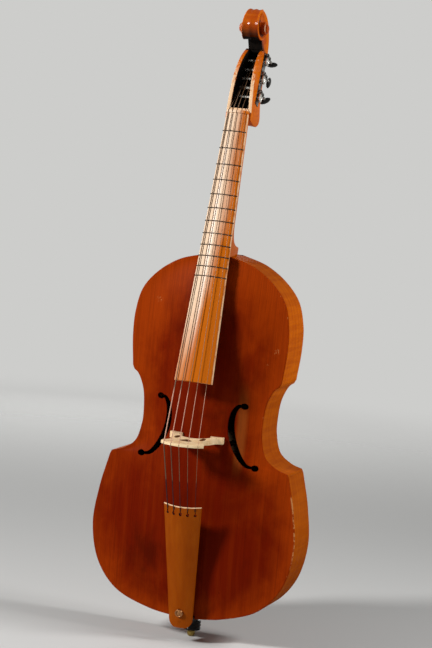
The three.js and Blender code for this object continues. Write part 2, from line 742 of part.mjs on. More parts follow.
function neckSection(z) {
  const down = (NUT_Z - z) / Math.cos(neckTurn);
  const half = boardWidthAt(Math.max(down, 0)) / 2;
  const shaft = blend(NECK_DEPTH, NECK_DEPTH_AT_HEEL, (NUT_Z - z) / (NUT_Z - TOP));
  const into = THREE.MathUtils.clamp(1 - (z - TOP - GLUE) / HEEL_LENGTH, 0, 1);
  const whole = TOP_DEPTH + BOARD_RISE - BOARD_EDGE;
  const depth = shaft + (whole - shaft) * (1 - Math.sqrt(1 - into ** 2));
  const narrow = blend(1, HEEL_CAP / (2 * half), into ** 3);
  const steps = 12;
  return Array.from({ length: steps + 1 }, (_, i) => {
    const turn = Math.PI * i / steps;
    const drop = Math.sin(turn);
    const width = half * Math.sign(Math.cos(turn)) * Math.abs(Math.cos(turn)) ** blend(1, 0.6, into);
    return new THREE.Vector3(-width * blend(1, narrow, drop), glueFaceY(z) + depth * drop, z);
  });
}

const headStartZ = NUT_Z + NUT_LENGTH * Math.cos(neckTurn) + GLUE;
const headFrame = new THREE.Matrix4()
  .makeRotationX(-THREE.MathUtils.degToRad(HEAD_LEAN))
  .setPosition(0, glueFaceY(headStartZ) + GLUE, headStartZ);

const pegboxHalfAt = (up) => blend(PEGBOX_WIDTH, PEGBOX_TOP_WIDTH, up / PEGBOX_LENGTH) / 2;
const pegboxDepthAt = (up) => tableValue(pegboxShares, up / PEGBOX_LENGTH, 1) * CHIN_DEPTH;

// A fluted section, from its inner edge to its outer edge, in half width and distance
function fluted(half, inner, outer, flute) {
  const bevel = Math.min(BEVEL, half / 4);
  return [[-half, inner], [-half, outer - bevel * 2], [-half + bevel, outer - bevel / 2], [-half / 2, outer - flute],
    [-bevel / 2, outer], [bevel / 2, outer], [half / 2, outer - flute], [half - bevel, outer - bevel / 2],
    [half, outer - bevel * 2], [half, inner]];
}

function volutePoint(x, radius, turn) {
  return new THREE.Vector3(x, -VOLUTE_FORWARD + radius * Math.cos(turn), VOLUTE_UP + radius * Math.sin(turn));
}

const voluteStart = -25 * Math.PI / 180;
const voluteEnd = VOLUTE_TURNS * 2 * Math.PI;
const voluteJoin = 26 * Math.PI / 180;

function voluteRadius(turn) {
  const spiral = (place) => VOLUTE_RADIUS * Math.exp(-VOLUTE_DECAY * (place - voluteJoin));
  const throat = (VOLUTE_FORWARD + THROAT_DEPTH) / Math.cos(voluteStart);
  const early = Math.max((voluteJoin - turn) / (voluteJoin - voluteStart), 0);
  return spiral(turn) + (throat - spiral(voluteStart)) * early ** 1.6;
}

function voluteHalf(turn) {
  const early = THREE.MathUtils.clamp((turn - voluteStart) / (Math.PI / 2 - voluteStart), 0, 1);
  const late = THREE.MathUtils.clamp((turn - Math.PI / 2) / (voluteEnd - Math.PI / 2), 0, 1);
  return blend(blend(PEGBOX_TOP_WIDTH, VOLUTE_NARROW, early), SCROLL_WIDTH * 0.9, late ** 1.25) / 2;
}

function voluteRing(turn) {
  const flute = FLUTE * Math.min(1, voluteRadius(turn) / VOLUTE_RADIUS);
  return fluted(voluteHalf(turn), EYE_DIAMETER / 8, voluteRadius(turn), flute)
    .map(([x, radius]) => volutePoint(x, radius, turn));
}

function volute() {
  const pieces = [];
  const arcs = 4;
  const steps = 8;
  const span = (voluteEnd - voluteStart) / arcs;
  for (let piece = 0; piece < arcs; piece += 1) {
    const from = voluteStart + piece * span;
    pieces.push(loft(Array.from({ length: steps + 1 }, (_, i) => voluteRing(from + span * i / steps))));
  }
  const half = SCROLL_WIDTH / 2;
  const eye = (reach, diameter) => rod(volutePoint(-reach, 0, 0), volutePoint(reach, 0, 0), diameter, 20);
  return [...pieces, eye(half, EYE_DIAMETER), eye(half * 0.9, EYE_DIAMETER * 1.35)];
}

function pegboxRing(up, front, depth) {
  return fluted(pegboxHalfAt(Math.max(up, 0)), front, depth, FLUTE).map(([x, back]) => new THREE.Vector3(x, back, up));
}

function pegboxCavity() {
  const foot = PEGBOX_WALL / 2;
  const last = PEGBOX_LENGTH - PEGBOX_WALL;
  const steps = 8;
  return loft(Array.from({ length: steps + 1 }, (_, i) => {
    const up = blend(foot, last, i / steps);
    const half = pegboxHalfAt(up) - PEGBOX_WALL;
    const floor = Math.max(pegboxDepthAt(up) - PEGBOX_FLOOR - CHIN_DEPTH / 4 * (1 - i / steps) ** 4, PEGBOX_FLOOR * 2);
    return [[-half, -CHIN_DEPTH], [-half, floor], [half, floor], [half, -CHIN_DEPTH]]
      .map(([x, back]) => new THREE.Vector3(x, back, up));
  }));
}

const rollerPitch = (PEGBOX_LENGTH - ROLLER_FIRST - LAST_ROLLER_BELOW_TOP) / (STRING_COUNT - 1);

function rollerUp(index) {
  return ROLLER_FIRST + index * rollerPitch;
}

// The treble side carries the first, third and fifth roller, the bass side the others
const machineSide = (index) => (index % 2 ? -1 : 1);

function rollerBore(index) {
  const side = machineSide(index);
  const far = pegboxHalfAt(rollerUp(index)) - PEGBOX_WALL + ROLLER_SEAT + MACHINE_CLEARANCE;
  const from = new THREE.Vector3(-side * far, ROLLER_DEPTH, rollerUp(index));
  const to = new THREE.Vector3(side * PEGBOX_WIDTH, ROLLER_DEPTH, rollerUp(index));
  return rod(from, to, ROLLER_DIAMETER + 2 * MACHINE_CLEARANCE, 12);
}

function neck() {
  const stations = [0, 0.004, 0.02, 0.05, 0.1, 0.17, 0.24, 0.4, 0.7, 1];
  const reach = headStartZ + NUT_LENGTH - TOP - GLUE;
  const shaft = loft(stations.map((share) => neckSection(TOP + GLUE + share * reach)));
  const boxRings = pegboxShares.map(([up, depth, front]) => (
    pegboxRing(up * PEGBOX_LENGTH, front * CHIN_DEPTH, depth * CHIN_DEPTH)));
  const head = [loft([...boxRings, voluteRing(voluteStart)]), ...volute()];
  const whole = joined([shaft, ...head.map((piece) => bare(piece).applyMatrix4(headFrame))]);
  const bores = machineNumbers.map(rollerBore);
  const cutters = [pegboxCavity(), ...bores].map((piece) => bare(piece).applyMatrix4(headFrame));
  return cut(whole, [...cutters, boardSeat()]);
}

// Everything in front of the glued face, below the head, belongs to the fingerboard and nut
function boardSeat() {
  return box([-BOARD_END_WIDTH, -OVERRUN, -BOARD_LENGTH], [BOARD_END_WIDTH, 0, NUT_LENGTH + GLUE])
    .applyMatrix4(boardFrame);
}

// Strings

const stringNumbers = Array.from({ length: STRING_COUNT }, (_, i) => i);
const machineNumbers = stringNumbers;
// The roller that each string winds on: the outer strings use the rollers nearest the nut
const rollerOfString = [1, 3, 4, 2, 0];
const windPlaceShares = [-0.75, -0.4, 0.1, 0.45, 0.8];

const across = (index, spread) => (index * STRING_STEP - 0.5) * spread;

function nutPoint(index) {
  const radius = STRING_DIAMETERS[index] / 2;
  const x = across(index, NUT_SPREAD);
  return new THREE.Vector3(x, boardTopAt(x, 0) - NUT_RISE - radius, NUT_LENGTH / 2).applyMatrix4(boardFrame);
}

function crownY(x) {
  return FRONT - BRIDGE_TOP + archOver(CROWN_RADIUS, 2 * Math.abs(x));
}

function bridgePoint(index) {
  const x = across(index, BRIDGE_SPREAD);
  return new THREE.Vector3(x, crownY(x), BRIDGE_Z);
}

// Tailpiece frame: its origin lies on the line of its edges at the upper end, Z runs up the body
const tailFrame = new THREE.Matrix4()
  .makeRotationX(THREE.MathUtils.degToRad(TAIL_ANGLE))
  .setPosition(0, FRONT - TAIL_RISE, BOTTOM + TAIL_TOP_HEIGHT);
const tailHalfAt = (down) => blend(TAIL_WIDTH, TAIL_END_WIDTH, down / TAIL_LENGTH) / 2;
const tailArchAt = (down) => blend(TAIL_ARCH, TAIL_END_ARCH, down / TAIL_LENGTH);
const tailTopY = (x, down) => -tailArchAt(down) * (1 - (x / tailHalfAt(down)) ** 2);

function tailPoints(index) {
  const radius = STRING_DIAMETERS[index] / 2;
  const x = across(index, TAIL_SPREAD);
  const steep = Math.hypot(1, 2 * TAIL_ARCH * x / tailHalfAt(0) ** 2);
  const over = tailTopY(x, 0) - (radius + GROOVE_CLEARANCE) * steep;
  const under = tailTopY(x, SLOT_EDGE) + TAIL_PLATE + (BALL_RADIUS + 2 * GROOVE_CLEARANCE) * steep;
  const dive = SLOT_EDGE + SLOT_LENGTH / 2;
  const route = [
    [dive, under + BALL_RADIUS, BALL_RADIUS / 3],
    [dive, under + BALL_RADIUS * 0.8, BALL_RADIUS],
    [dive, under - BALL_RADIUS * 0.8, BALL_RADIUS],
    [dive, under - BALL_RADIUS, radius],
    [dive - radius / 2, blend(under, over, 0.7), radius],
    [SLOT_EDGE + radius, over, radius],
    [0, over, radius],
  ];
  return route.map(([down, y, r]) => ({ point: new THREE.Vector3(x, y, -down).applyMatrix4(tailFrame), radius: r }));
}

function windingPoints(index) {
  const radius = STRING_DIAMETERS[index] / 2;
  const roller = rollerOfString[index];
  const up = rollerUp(roller);
  const x = windPlaceShares[index] * (pegboxHalfAt(up) - PEGBOX_WALL);
  const reach = ROLLER_DIAMETER / 2 + MACHINE_CLEARANCE + radius;
  const start = nutPoint(index).applyMatrix4(headFrame.clone().invert());
  const [away, deep] = [start.z - up, start.y - ROLLER_DEPTH];
  const distance = Math.hypot(away, deep);
  const facing = Math.atan2(away, deep);
  const tangent = facing - Math.acos(reach / distance);
  const pitch = STRING_DIAMETERS[index] + WIND_GAP;
  const inwards = x > 0 ? -1 : 1;
  const count = Math.round(WIND_TURNS * WIND_STEPS);
  return Array.from({ length: count + 1 }, (_, i) => {
    const turn = tangent - 2 * Math.PI * i / WIND_STEPS;
    return new THREE.Vector3(
      x + inwards * pitch * i / WIND_STEPS,
      ROLLER_DEPTH + reach * Math.cos(turn),
      up + reach * Math.sin(turn),
    ).applyMatrix4(headFrame);
  });
}

function stringRoute(index, extra) {
  const radius = STRING_DIAMETERS[index] / 2;
  const plain = [bridgePoint(index), nutPoint(index), ...windingPoints(index)];
  const route = [...tailPoints(index), ...plain.map((point) => ({ point, radius }))];
  return tube(route.map((place) => place.point), route.map((place) => place.radius + extra), STRING_SIDES);
}

function leastWindingGap() {
  const gaps = stringNumbers.map((index) => {
    const points = windingPoints(index);
    let least = Infinity;
    points.forEach((point, i) => points.forEach((other, j) => {
      if (Math.abs(i - j) > WIND_STEPS / 2) least = Math.min(least, point.distanceTo(other));
    }));
    return least - STRING_DIAMETERS[index];
  });
  return Math.min(...gaps);
}

// Bridge: an arched crown on two legs, thick at the feet and thin at the crown

function bridgeOutline() {
  const crown = arc(CROWN_RADIUS, CROWN_WIDTH / 2, 10).map(([x]) => [x, crownY(x)]);
  const foot = FRONT - ARCH / 2;
  const ankle = FRONT - ARCH - FOOT_HEIGHT;
  const [outer, inner] = [BRIDGE_SPAN / 2, BRIDGE_SPAN / 2 - BRIDGE_FOOT];
  const toe = blend(ankle, foot, 0.2);
  const placed = ([x, up]) => [x * outer, blend(ankle, crownY(CROWN_WIDTH / 2), up)];
  const right = [
    ...bridgeEdgeShares.map(placed),
    [outer, toe],
    [outer, foot],
    [inner, foot],
    [inner, toe],
    ...bridgeArchShares.map(placed),
  ];
  const left = right.slice(0, -1).map(([x, y]) => [-x, y]).reverse();
  return [...crown, ...right, ...left];
}

function bridge() {
  const half = CROWN_THICKNESS / 2;
  const outline = bridgeOutline();
  const thick = [-half, BRIDGE_THICKNESS - half];
  const blank = loft(thick.map((z) => outline.map(([x, y]) => new THREE.Vector3(x, y, BRIDGE_Z + z))));
  const top = FRONT - BRIDGE_TOP - CROWN_THICKNESS;
  const side = [[top, -half], [top, half], [top + 2 * CROWN_THICKNESS, half], [FRONT - ARCH, thick[1]], [FRONT, thick[1]], [FRONT, -half]];
  const wedge = loft([-BRIDGE_SPAN, BRIDGE_SPAN].map((x) => side.map(([y, z]) => new THREE.Vector3(x, y, BRIDGE_Z + z))));
  const windows = bridgeWindows.map(([x, up, diameter]) => {
    const y = blend(FRONT - ARCH, FRONT - BRIDGE_TOP, up);
    const from = new THREE.Vector3(x * CROWN_WIDTH / 2, y, BRIDGE_Z - OVERRUN);
    return rod(from, from.clone().setZ(BRIDGE_Z + OVERRUN), diameter * CROWN_WIDTH / 2, 12);
  });
  const grooves = stringNumbers.map((i) => stringRoute(i, GROOVE_CLEARANCE));
  return cut(common(blank, wedge), [overBelly(), ...windows, ...grooves]);
}

// Tailpiece: an arched plate, wide at the strings and narrow at the end, hollowed below

function tailSection(down) {
  const round = Math.max(down - (TAIL_LENGTH - TAIL_ROUNDING), 0) / TAIL_ROUNDING;
  const half = tailHalfAt(down) * blend(1, 0.45, 1 - Math.sqrt(1 - round ** 2));
  const steps = 8;
  const shares = Array.from({ length: steps + 1 }, (_, i) => 2 * i / steps - 1);
  const top = shares.map((share) => [share * half, tailTopY(share * half, down)]);
  const under = top.map(([x, y]) => [x, y + TAIL_PLATE]).reverse();
  return [...top, ...under].map(([x, y]) => new THREE.Vector3(x, y, -down));
}

const tailStations = [0, 0.33, 0.66, 1].map((share) => share * (TAIL_LENGTH - TAIL_ROUNDING))
  .concat([0.35, 0.65, 0.87, 1].map((share) => TAIL_LENGTH - TAIL_ROUNDING * (1 - share)));

function tailpiece() {
  const cutters = stringNumbers.map((i) => {
    const x = across(i, TAIL_SPREAD);
    const y = tailTopY(x, 0);
    const half = STRING_DIAMETERS[i] / 2 + GROOVE_CLEARANCE;
    const slot = box([x - half, y - TAIL_ARCH, -SLOT_EDGE - SLOT_LENGTH], [x + half, TAIL_ARCH, -SLOT_EDGE]);
    const eye = new THREE.Vector3(x, y - TAIL_ARCH, -SLOT_EDGE - SLOT_LENGTH);
    return [slot, rod(eye, eye.clone().setY(TAIL_ARCH), KEYHOLE_DIAMETER, 12)];
  }).flat();
  const knobHole = rod(knobPlace(-KNOB_HEIGHT), knobPlace(TAIL_PLATE * 3), KNOB_STEM + 2 * PIN_CLEARANCE, 16);
  return cut(loft(tailStations.map(tailSection)), [...cutters, knobHole]).applyMatrix4(tailFrame);
}

const knobDown = TAIL_LENGTH - KNOB_FROM_END;

function knobPlace(below) {
  return new THREE.Vector3(0, tailTopY(0, knobDown) + below, -knobDown);
}

function turned(profile, sides = 32) {
  return new THREE.LatheGeometry(profile.map(([r, z]) => new THREE.Vector2(r, z)), sides);
}

function tailKnob() {
  const reach = TAIL_PLATE + CORD_DIAMETER + 4 * GLUE;
  const profile = [[0, -KNOB_HEIGHT], [KNOB_DIAMETER * 0.3, -KNOB_HEIGHT * 0.95], [KNOB_DIAMETER * 0.44, -KNOB_HEIGHT * 0.7],
    [KNOB_DIAMETER / 2, -KNOB_HEIGHT * 0.35], [KNOB_DIAMETER / 2, -GLUE], [KNOB_STEM / 2, -GLUE], [KNOB_STEM / 2, reach],
    [KNOB_STEM * 0.8, reach], [KNOB_STEM * 0.8, reach + GLUE * 6], [0, reach + GLUE * 6]];
  return turned(profile, 16).translate(...knobPlace(0).toArray()).applyMatrix4(tailFrame);
}

const cordGap = CORD_DIAMETER / 2 + 2 * GLUE;
const cordBend = COLLAR_NECK_DIAMETER / 2 + cordGap;
const cordLevel = BOTTOM - GLUE - COLLAR_NECK / 2;

function tailCord() {
  const loopTop = KNOB_STEM / 2 + cordGap;
  const under = TAIL_PLATE + cordGap;
  const knobTurn = [90, 60, 30, 0].map((degrees) => degrees * Math.PI / 180).map((turn) => (
    knobPlace(under).add(new THREE.Vector3(loopTop * Math.cos(turn), 0, loopTop * Math.sin(turn))).applyMatrix4(tailFrame)));
  const saddleTop = FRONT - SADDLE_RISE - cordGap;
  const wide = blend(loopTop, cordBend, 0.75);
  const overSaddle = [
    new THREE.Vector3(wide, saddleTop, BOTTOM + SADDLE_LENGTH / 2),
    new THREE.Vector3(wide, saddleTop + CORD_DIAMETER / 3, BOTTOM - GLUE * 3),
    new THREE.Vector3(wide, saddleTop + CORD_DIAMETER * 1.2, cordLevel + CORD_DIAMETER / 3),
    new THREE.Vector3(wide, FRONT - CORD_DIAMETER, cordLevel),
    new THREE.Vector3(cordBend, MIDDLE, cordLevel),
  ];
  const collarTurn = [30, 60].map((degrees) => degrees * Math.PI / 180).map((turn) => (
    new THREE.Vector3(cordBend * Math.cos(turn), MIDDLE + cordBend * Math.sin(turn), cordLevel)));
  const right = [...knobTurn, ...overSaddle, ...collarTurn];
  const end = new THREE.Vector3(0, MIDDLE + cordBend, cordLevel);
  const left = right.slice(1).map((point) => point.clone().setX(-point.x)).reverse();
  return ringTube([...right, end, ...left], CORD_DIAMETER / 2, CORD_SIDES);
}

// A tube whose end meets its start
function ringTube(points, radius, sides) {
  const count = points.length;
  const rings = points.map((point, i) => {
    const along = points[(i + 1) % count].clone().sub(points[(i + count - 1) % count]).normalize();
    const radial = new THREE.Vector3(0, 1, 0.6).cross(along).normalize();
    const up = new THREE.Vector3().crossVectors(along, radial);
    return Array.from({ length: sides }, (_, k) => {
      const turn = (2 * Math.PI * k) / sides;
      return point.clone().addScaledVector(radial, radius * Math.cos(turn)).addScaledVector(up, radius * Math.sin(turn));
    });
  });
  const triangles = [];
  rings.forEach((low, i) => {
    const high = rings[(i + 1) % count];
    low.forEach((_, j) => {
      const next = (j + 1) % sides;
      triangles.push([low[j], low[next], high[next]], [low[j], high[next], high[j]]);
    });
  });
  return closedGeometry(triangles);
}

function saddle() {
  const half = SADDLE_WIDTH / 2;
  const [low, high] = [BOTTOM + GLUE, BOTTOM + SADDLE_LENGTH];
  const top = FRONT - SADDLE_RISE;
  const round = SADDLE_RISE / 4;
  const side = [[FRONT - GLUE, low], [top + round, low], [top, low + round], [top, high - round], [top + round, high], [FRONT - GLUE, high]];
  const ring = (x, share) => side.map(([y, z]) => new THREE.Vector3(x, blend(FRONT - GLUE, y, share), z));
  return cut(loft([ring(-half, 0.6), ring(-half * 0.8, 1), ring(half * 0.8, 1), ring(half, 0.6)]), [overBelly()]);
}

// End collar, pin and clamp screw

function upright(geometry) {
  return geometry.rotateX(Math.PI / 2).translate(0, MIDDLE, 0);
}

function endCollar() {
  const bore = PIN_DIAMETER / 2 + PIN_CLEARANCE;
  const [neckRadius, radius] = [COLLAR_NECK_DIAMETER / 2, COLLAR_DIAMETER / 2];
  const shoulder = BOTTOM - GLUE;
  const flange = shoulder - COLLAR_NECK;
  const foot = BOTTOM - COLLAR_HEIGHT;
  const pitch = (flange - foot) / COLLAR_RIBS;
  const ribs = Array.from({ length: COLLAR_RIBS }, (_, i) => [
    [radius - COLLAR_RIB_DEPTH, flange - i * pitch],
    [radius, flange - (i + 0.25) * pitch],
    [radius, flange - (i + 0.75) * pitch],
  ]).flat();
  const stem = STEM_DIAMETER / 2;
  const profile = [[bore, BOTTOM + TAIL_BLOCK_DEPTH], [stem, BOTTOM + TAIL_BLOCK_DEPTH], [stem, shoulder], [neckRadius, shoulder],
    [neckRadius, flange], ...ribs, [radius - COLLAR_RIB_DEPTH, foot], [bore, foot], [bore, BOTTOM + TAIL_BLOCK_DEPTH]];
  const body = upright(turned(profile, 16));
  return cut(body, [screwRod(SCREW_DIAMETER + 2 * PIN_CLEARANCE, PIN_DIAMETER / 4, radius + SCREW_NECK)]);
}

function screwRod(diameter, from, to) {
  const z = BOTTOM - COLLAR_HEIGHT + SCREW_HEIGHT;
  return rod(new THREE.Vector3(0, MIDDLE + from, z), new THREE.Vector3(0, MIDDLE + to, z), diameter, 16);
}

function thumbScrew() {
  const tip = PIN_DIAMETER / 2 + PIN_CLEARANCE;
  const neckEnd = COLLAR_DIAMETER / 2 + SCREW_NECK;
  return joined([screwRod(SCREW_DIAMETER, tip, neckEnd + GLUE), screwRod(SCREW_HEAD_DIAMETER, neckEnd, neckEnd + SCREW_HEAD_THICKNESS)]);
}

function endPin() {
  const top = BOTTOM - COLLAR_HEIGHT - PIN_CLEARANCE;
  const [wide, narrow] = [FERRULE_DIAMETER / 2, PIN_DIAMETER / 2];
  const profile = [[0, top - FERRULE_HEIGHT], [wide * 0.75, top - FERRULE_HEIGHT], [wide, top - FERRULE_HEIGHT * 0.75], [wide, top],
    [narrow, top], [narrow, top + PIN_LENGTH - narrow / 2], [narrow * 0.6, top + PIN_LENGTH], [0, top + PIN_LENGTH]];
  return upright(turned(profile, 24));
}

// Tuning machines, in the head frame

const rollerHalfAt = (index) => pegboxHalfAt(rollerUp(index));
const wormX = (index) => rollerHalfAt(index) + GLUE + MACHINE_PLATE + MACHINE_GAP + WORM_DIAMETER / 2;
const gearRoot = (GEAR_DIAMETER - TOOTH_HEIGHT) / 2;
const gearTip = (GEAR_DIAMETER + TOOTH_HEIGHT) / 2;
const wormUp = (index) => rollerUp(index) + gearRoot + WORM_DIAMETER / 2 + MESH_CLEARANCE;
const threadPitch = Math.PI * GEAR_DIAMETER / GEAR_TEETH;

function gear(index) {
  const step = 2 * Math.PI / GEAR_TEETH;
  const outline = Array.from({ length: GEAR_TEETH }, (_, tooth) => {
    const centre = Math.PI / 2 + (tooth + 0.5) * step;
    const [root, tip] = [TOOTH_ROOT / 2 / gearRoot, TOOTH_TIP / 2 / gearTip];
    return [[gearRoot, centre - root], [gearTip, centre - tip], [gearTip, centre + tip], [gearRoot, centre + root]];
  }).flat();
  const x = machineSide(index) * wormX(index);
  return loft([x - GEAR_WIDTH / 2, x + GEAR_WIDTH / 2].map((place) => outline.map(([radius, turn]) => (
    new THREE.Vector3(place, ROLLER_DEPTH + radius * Math.cos(turn), rollerUp(index) + radius * Math.sin(turn))))));
}

function roller(index) {
  const side = machineSide(index);
  const at = (x) => new THREE.Vector3(side * x, ROLLER_DEPTH, rollerUp(index));
  const far = ROLLER_SEAT + rollerHalfAt(index) - PEGBOX_WALL;
  const shoulder = rollerHalfAt(index) + GLUE + MACHINE_PLATE + MACHINE_GAP;
  const end = wormX(index) + GEAR_WIDTH / 2 + MACHINE_GAP;
  return joined([rod(at(-far), at(shoulder), ROLLER_DIAMETER, 12), rod(at(0), at(end), AXLE_DIAMETER, 8), gear(index)]);
}

// The worm's thread: its middle faces the gear at the roller's depth
function thread(index) {
  const [root, tip] = [WORM_ROOT_DIAMETER / 2 - GLUE, WORM_DIAMETER / 2];
  const turns = (WORM_LENGTH - 2 * THREAD_ROOT) / threadPitch;
  const count = Math.round(turns * WORM_STEPS);
  const x = machineSide(index) * wormX(index);
  return loft(Array.from({ length: count + 1 }, (_, i) => {
    const turn = (i / count - 0.5) * turns * 2 * Math.PI;
    const along = ROLLER_DEPTH + threadPitch * turn / (2 * Math.PI);
    const facing = turn + Math.PI;
    return [[root, -THREAD_ROOT], [tip, -THREAD_TIP], [tip, THREAD_TIP], [root, THREAD_ROOT]].map(([radius, offAxis]) => (
      new THREE.Vector3(x + radius * Math.sin(facing), along + offAxis / 2, wormUp(index) + radius * Math.cos(facing))));
  }));
}

const earReach = (index) => wormX(index) + KEY_SHAFT_DIAMETER / 2 + EAR_WALL;
const earStarts = [-WORM_LENGTH / 2 - GLUE - EAR_THICKNESS, WORM_LENGTH / 2 + GLUE];

function keyShaft(index, diameter, from, to) {
  const at = (along) => new THREE.Vector3(machineSide(index) * wormX(index), ROLLER_DEPTH + along, wormUp(index));
  return rod(at(from), at(to), diameter, 10);
}

function button(index) {
  const turn = THREE.MathUtils.degToRad(BUTTON_TURNS[index]);
  const place = new THREE.Vector3(machineSide(index) * wormX(index), ROLLER_DEPTH + KEY_REACH, wormUp(index));
  return new THREE.SphereGeometry(1 / 2, 10, 6)
    .scale(BUTTON_WIDTH, BUTTON_HEIGHT, BUTTON_THICKNESS)
    .rotateY(turn)
    .translate(...place.toArray());
}

function key(index) {
  const shaft = keyShaft(index, KEY_SHAFT_DIAMETER, earStarts[0] - EAR_WALL, KEY_REACH);
  return joined([shaft, bare(thread(index)), button(index)]);
}

function machinePlate(side) {
  const low = ROLLER_FIRST - MACHINE_PLATE_MARGIN;
  const high = rollerUp(STRING_COUNT - 1) + MACHINE_PLATE_MARGIN;
  const rear = MACHINE_PLATE_FRONT + MACHINE_PLATE_WIDTH;
  const steps = 16;
  const scallops = Array.from({ length: steps + 1 }, (_, i) => {
    const up = blend(high, low, i / steps);
    return [rear - SCALLOP * (1 - Math.cos(2 * Math.PI * (up - ROLLER_FIRST) / (2 * rollerPitch))) / 2, up];
  });
  const outline = [[MACHINE_PLATE_FRONT, low], [MACHINE_PLATE_FRONT, high], ...scallops];
  const at = (out) => outline.map(([deep, up]) => new THREE.Vector3(side * (pegboxHalfAt(up) + GLUE + out), deep, up));
  const mine = machineNumbers.filter((index) => machineSide(index) === side);
  const ears = mine.map((index) => earStarts.map((start) => {
    const xs = [rollerHalfAt(index) + GLUE + MACHINE_PLATE / 2, earReach(index)].map((x) => x * side).sort((p, q) => p - q);
    const reach = KEY_SHAFT_DIAMETER / 2 + EAR_WALL;
    return box([xs[0], ROLLER_DEPTH + start, wormUp(index) - reach], [xs[1], ROLLER_DEPTH + start + EAR_THICKNESS, wormUp(index) + reach]);
  })).flat();
  const clear = 2 * MACHINE_CLEARANCE;
  const holes = mine.map((index) => [
    keyShaft(index, KEY_SHAFT_DIAMETER + clear, -WORM_LENGTH * 2, WORM_LENGTH * 2),
    rod(new THREE.Vector3(0, ROLLER_DEPTH, rollerUp(index)), new THREE.Vector3(side * earReach(index), ROLLER_DEPTH, rollerUp(index)),
      ROLLER_DIAMETER + clear, 12),
  ]).flat();
  return cut(joined([loft([at(0), at(MACHINE_PLATE)]), ...ears]), holes);
}

// Assembly

const viol = new THREE.Group();

function named(name, geometry, material) {
  const mesh = new THREE.Mesh(bare(geometry), material);
  mesh.name = name;
  return mesh;
}

function add(name, geometry, material) {
  viol.add(named(name, geometry, material));
}

add('belly', belly(), materials.belly);
add('back', back(), materials.amber);
Object.entries(ribPaths).forEach(([place, path]) => {
  [['treble', 1], ['bass', -1]].forEach(([name, side]) => {
    const wall = rib(path, side);
    add(`rib_${place}_${name}`, place === 'lower' ? cut(wall, [stemHole()]) : wall, materials.amber);
  });
});
const corners = { lower: cornerMiddle(lowerLast, parts.waist[0], 0.5), upper: cornerMiddle(waistLast, parts.upper[0], 0.5) };
Object.entries(corners).forEach(([place, corner]) => {
  add(`corner_block_${place}_treble`, cornerBlock(corner, 1), materials.spruce);
  add(`corner_block_${place}_bass`, cornerBlock(corner, -1), materials.spruce);
});
add('tail_block', tailBlock(), materials.spruce);
add('neck_block', neckBlock(), materials.spruce);
add('bass_bar', bassBar(), materials.spruce);
add('sound_post', soundPost(), materials.spruce);
add('sound_post_plate', brace(postZ, POST_PLATE_WIDTH, POST_PLATE), materials.spruce);
add('back_brace', brace(FOLD - BRACE_WIDTH, BRACE_WIDTH, BRACE_DEPTH), materials.spruce);
add('neck', neck(), materials.scroll);
add('fingerboard', fingerboard(), materials.maple);
add('nut', nut(), materials.maple);
fretNumbers.forEach((number) => add(`fret_${number}`, fret(number), materials.ebony));
stringNumbers.forEach((i) => add(`string_${i + 1}`, stringRoute(i, 0), materials.gut));
add('bridge', bridge(), materials.maple);
add('tailpiece', tailpiece(), materials.amber);
add('tail_knob', tailKnob(), materials.steel);
add('tail_cord', tailCord(), materials.ebony);
add('saddle', saddle(), materials.ebony);
add('end_collar', endCollar(), materials.ebony);
add('end_pin', endPin(), materials.brass);
add('thumb_screw', thumbScrew(), materials.steel);

const head = new THREE.Group();
head.applyMatrix4(headFrame);
viol.add(head);
machineNumbers.forEach((i) => {
  head.add(named(`roller_${i + 1}`, roller(i), materials.steel));
  head.add(named(`key_${i + 1}`, key(i), materials.ebony));
});
[['treble', 1], ['bass', -1]].forEach(([place, side]) => {
  head.add(named(`machine_plate_${place}`, machinePlate(side), materials.steel));
});
console.log(`least gap in the windings: ${leastWindingGap().toFixed(2)} mm`);

export default viol;
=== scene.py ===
"""The looks of a bass viola da gamba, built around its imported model.

Each visible piece is a surface worked out in millimetres from the same sizes as the model and put down in metres.
X runs across to the treble side, Y from the belly to the back and Z up the neck.
"""

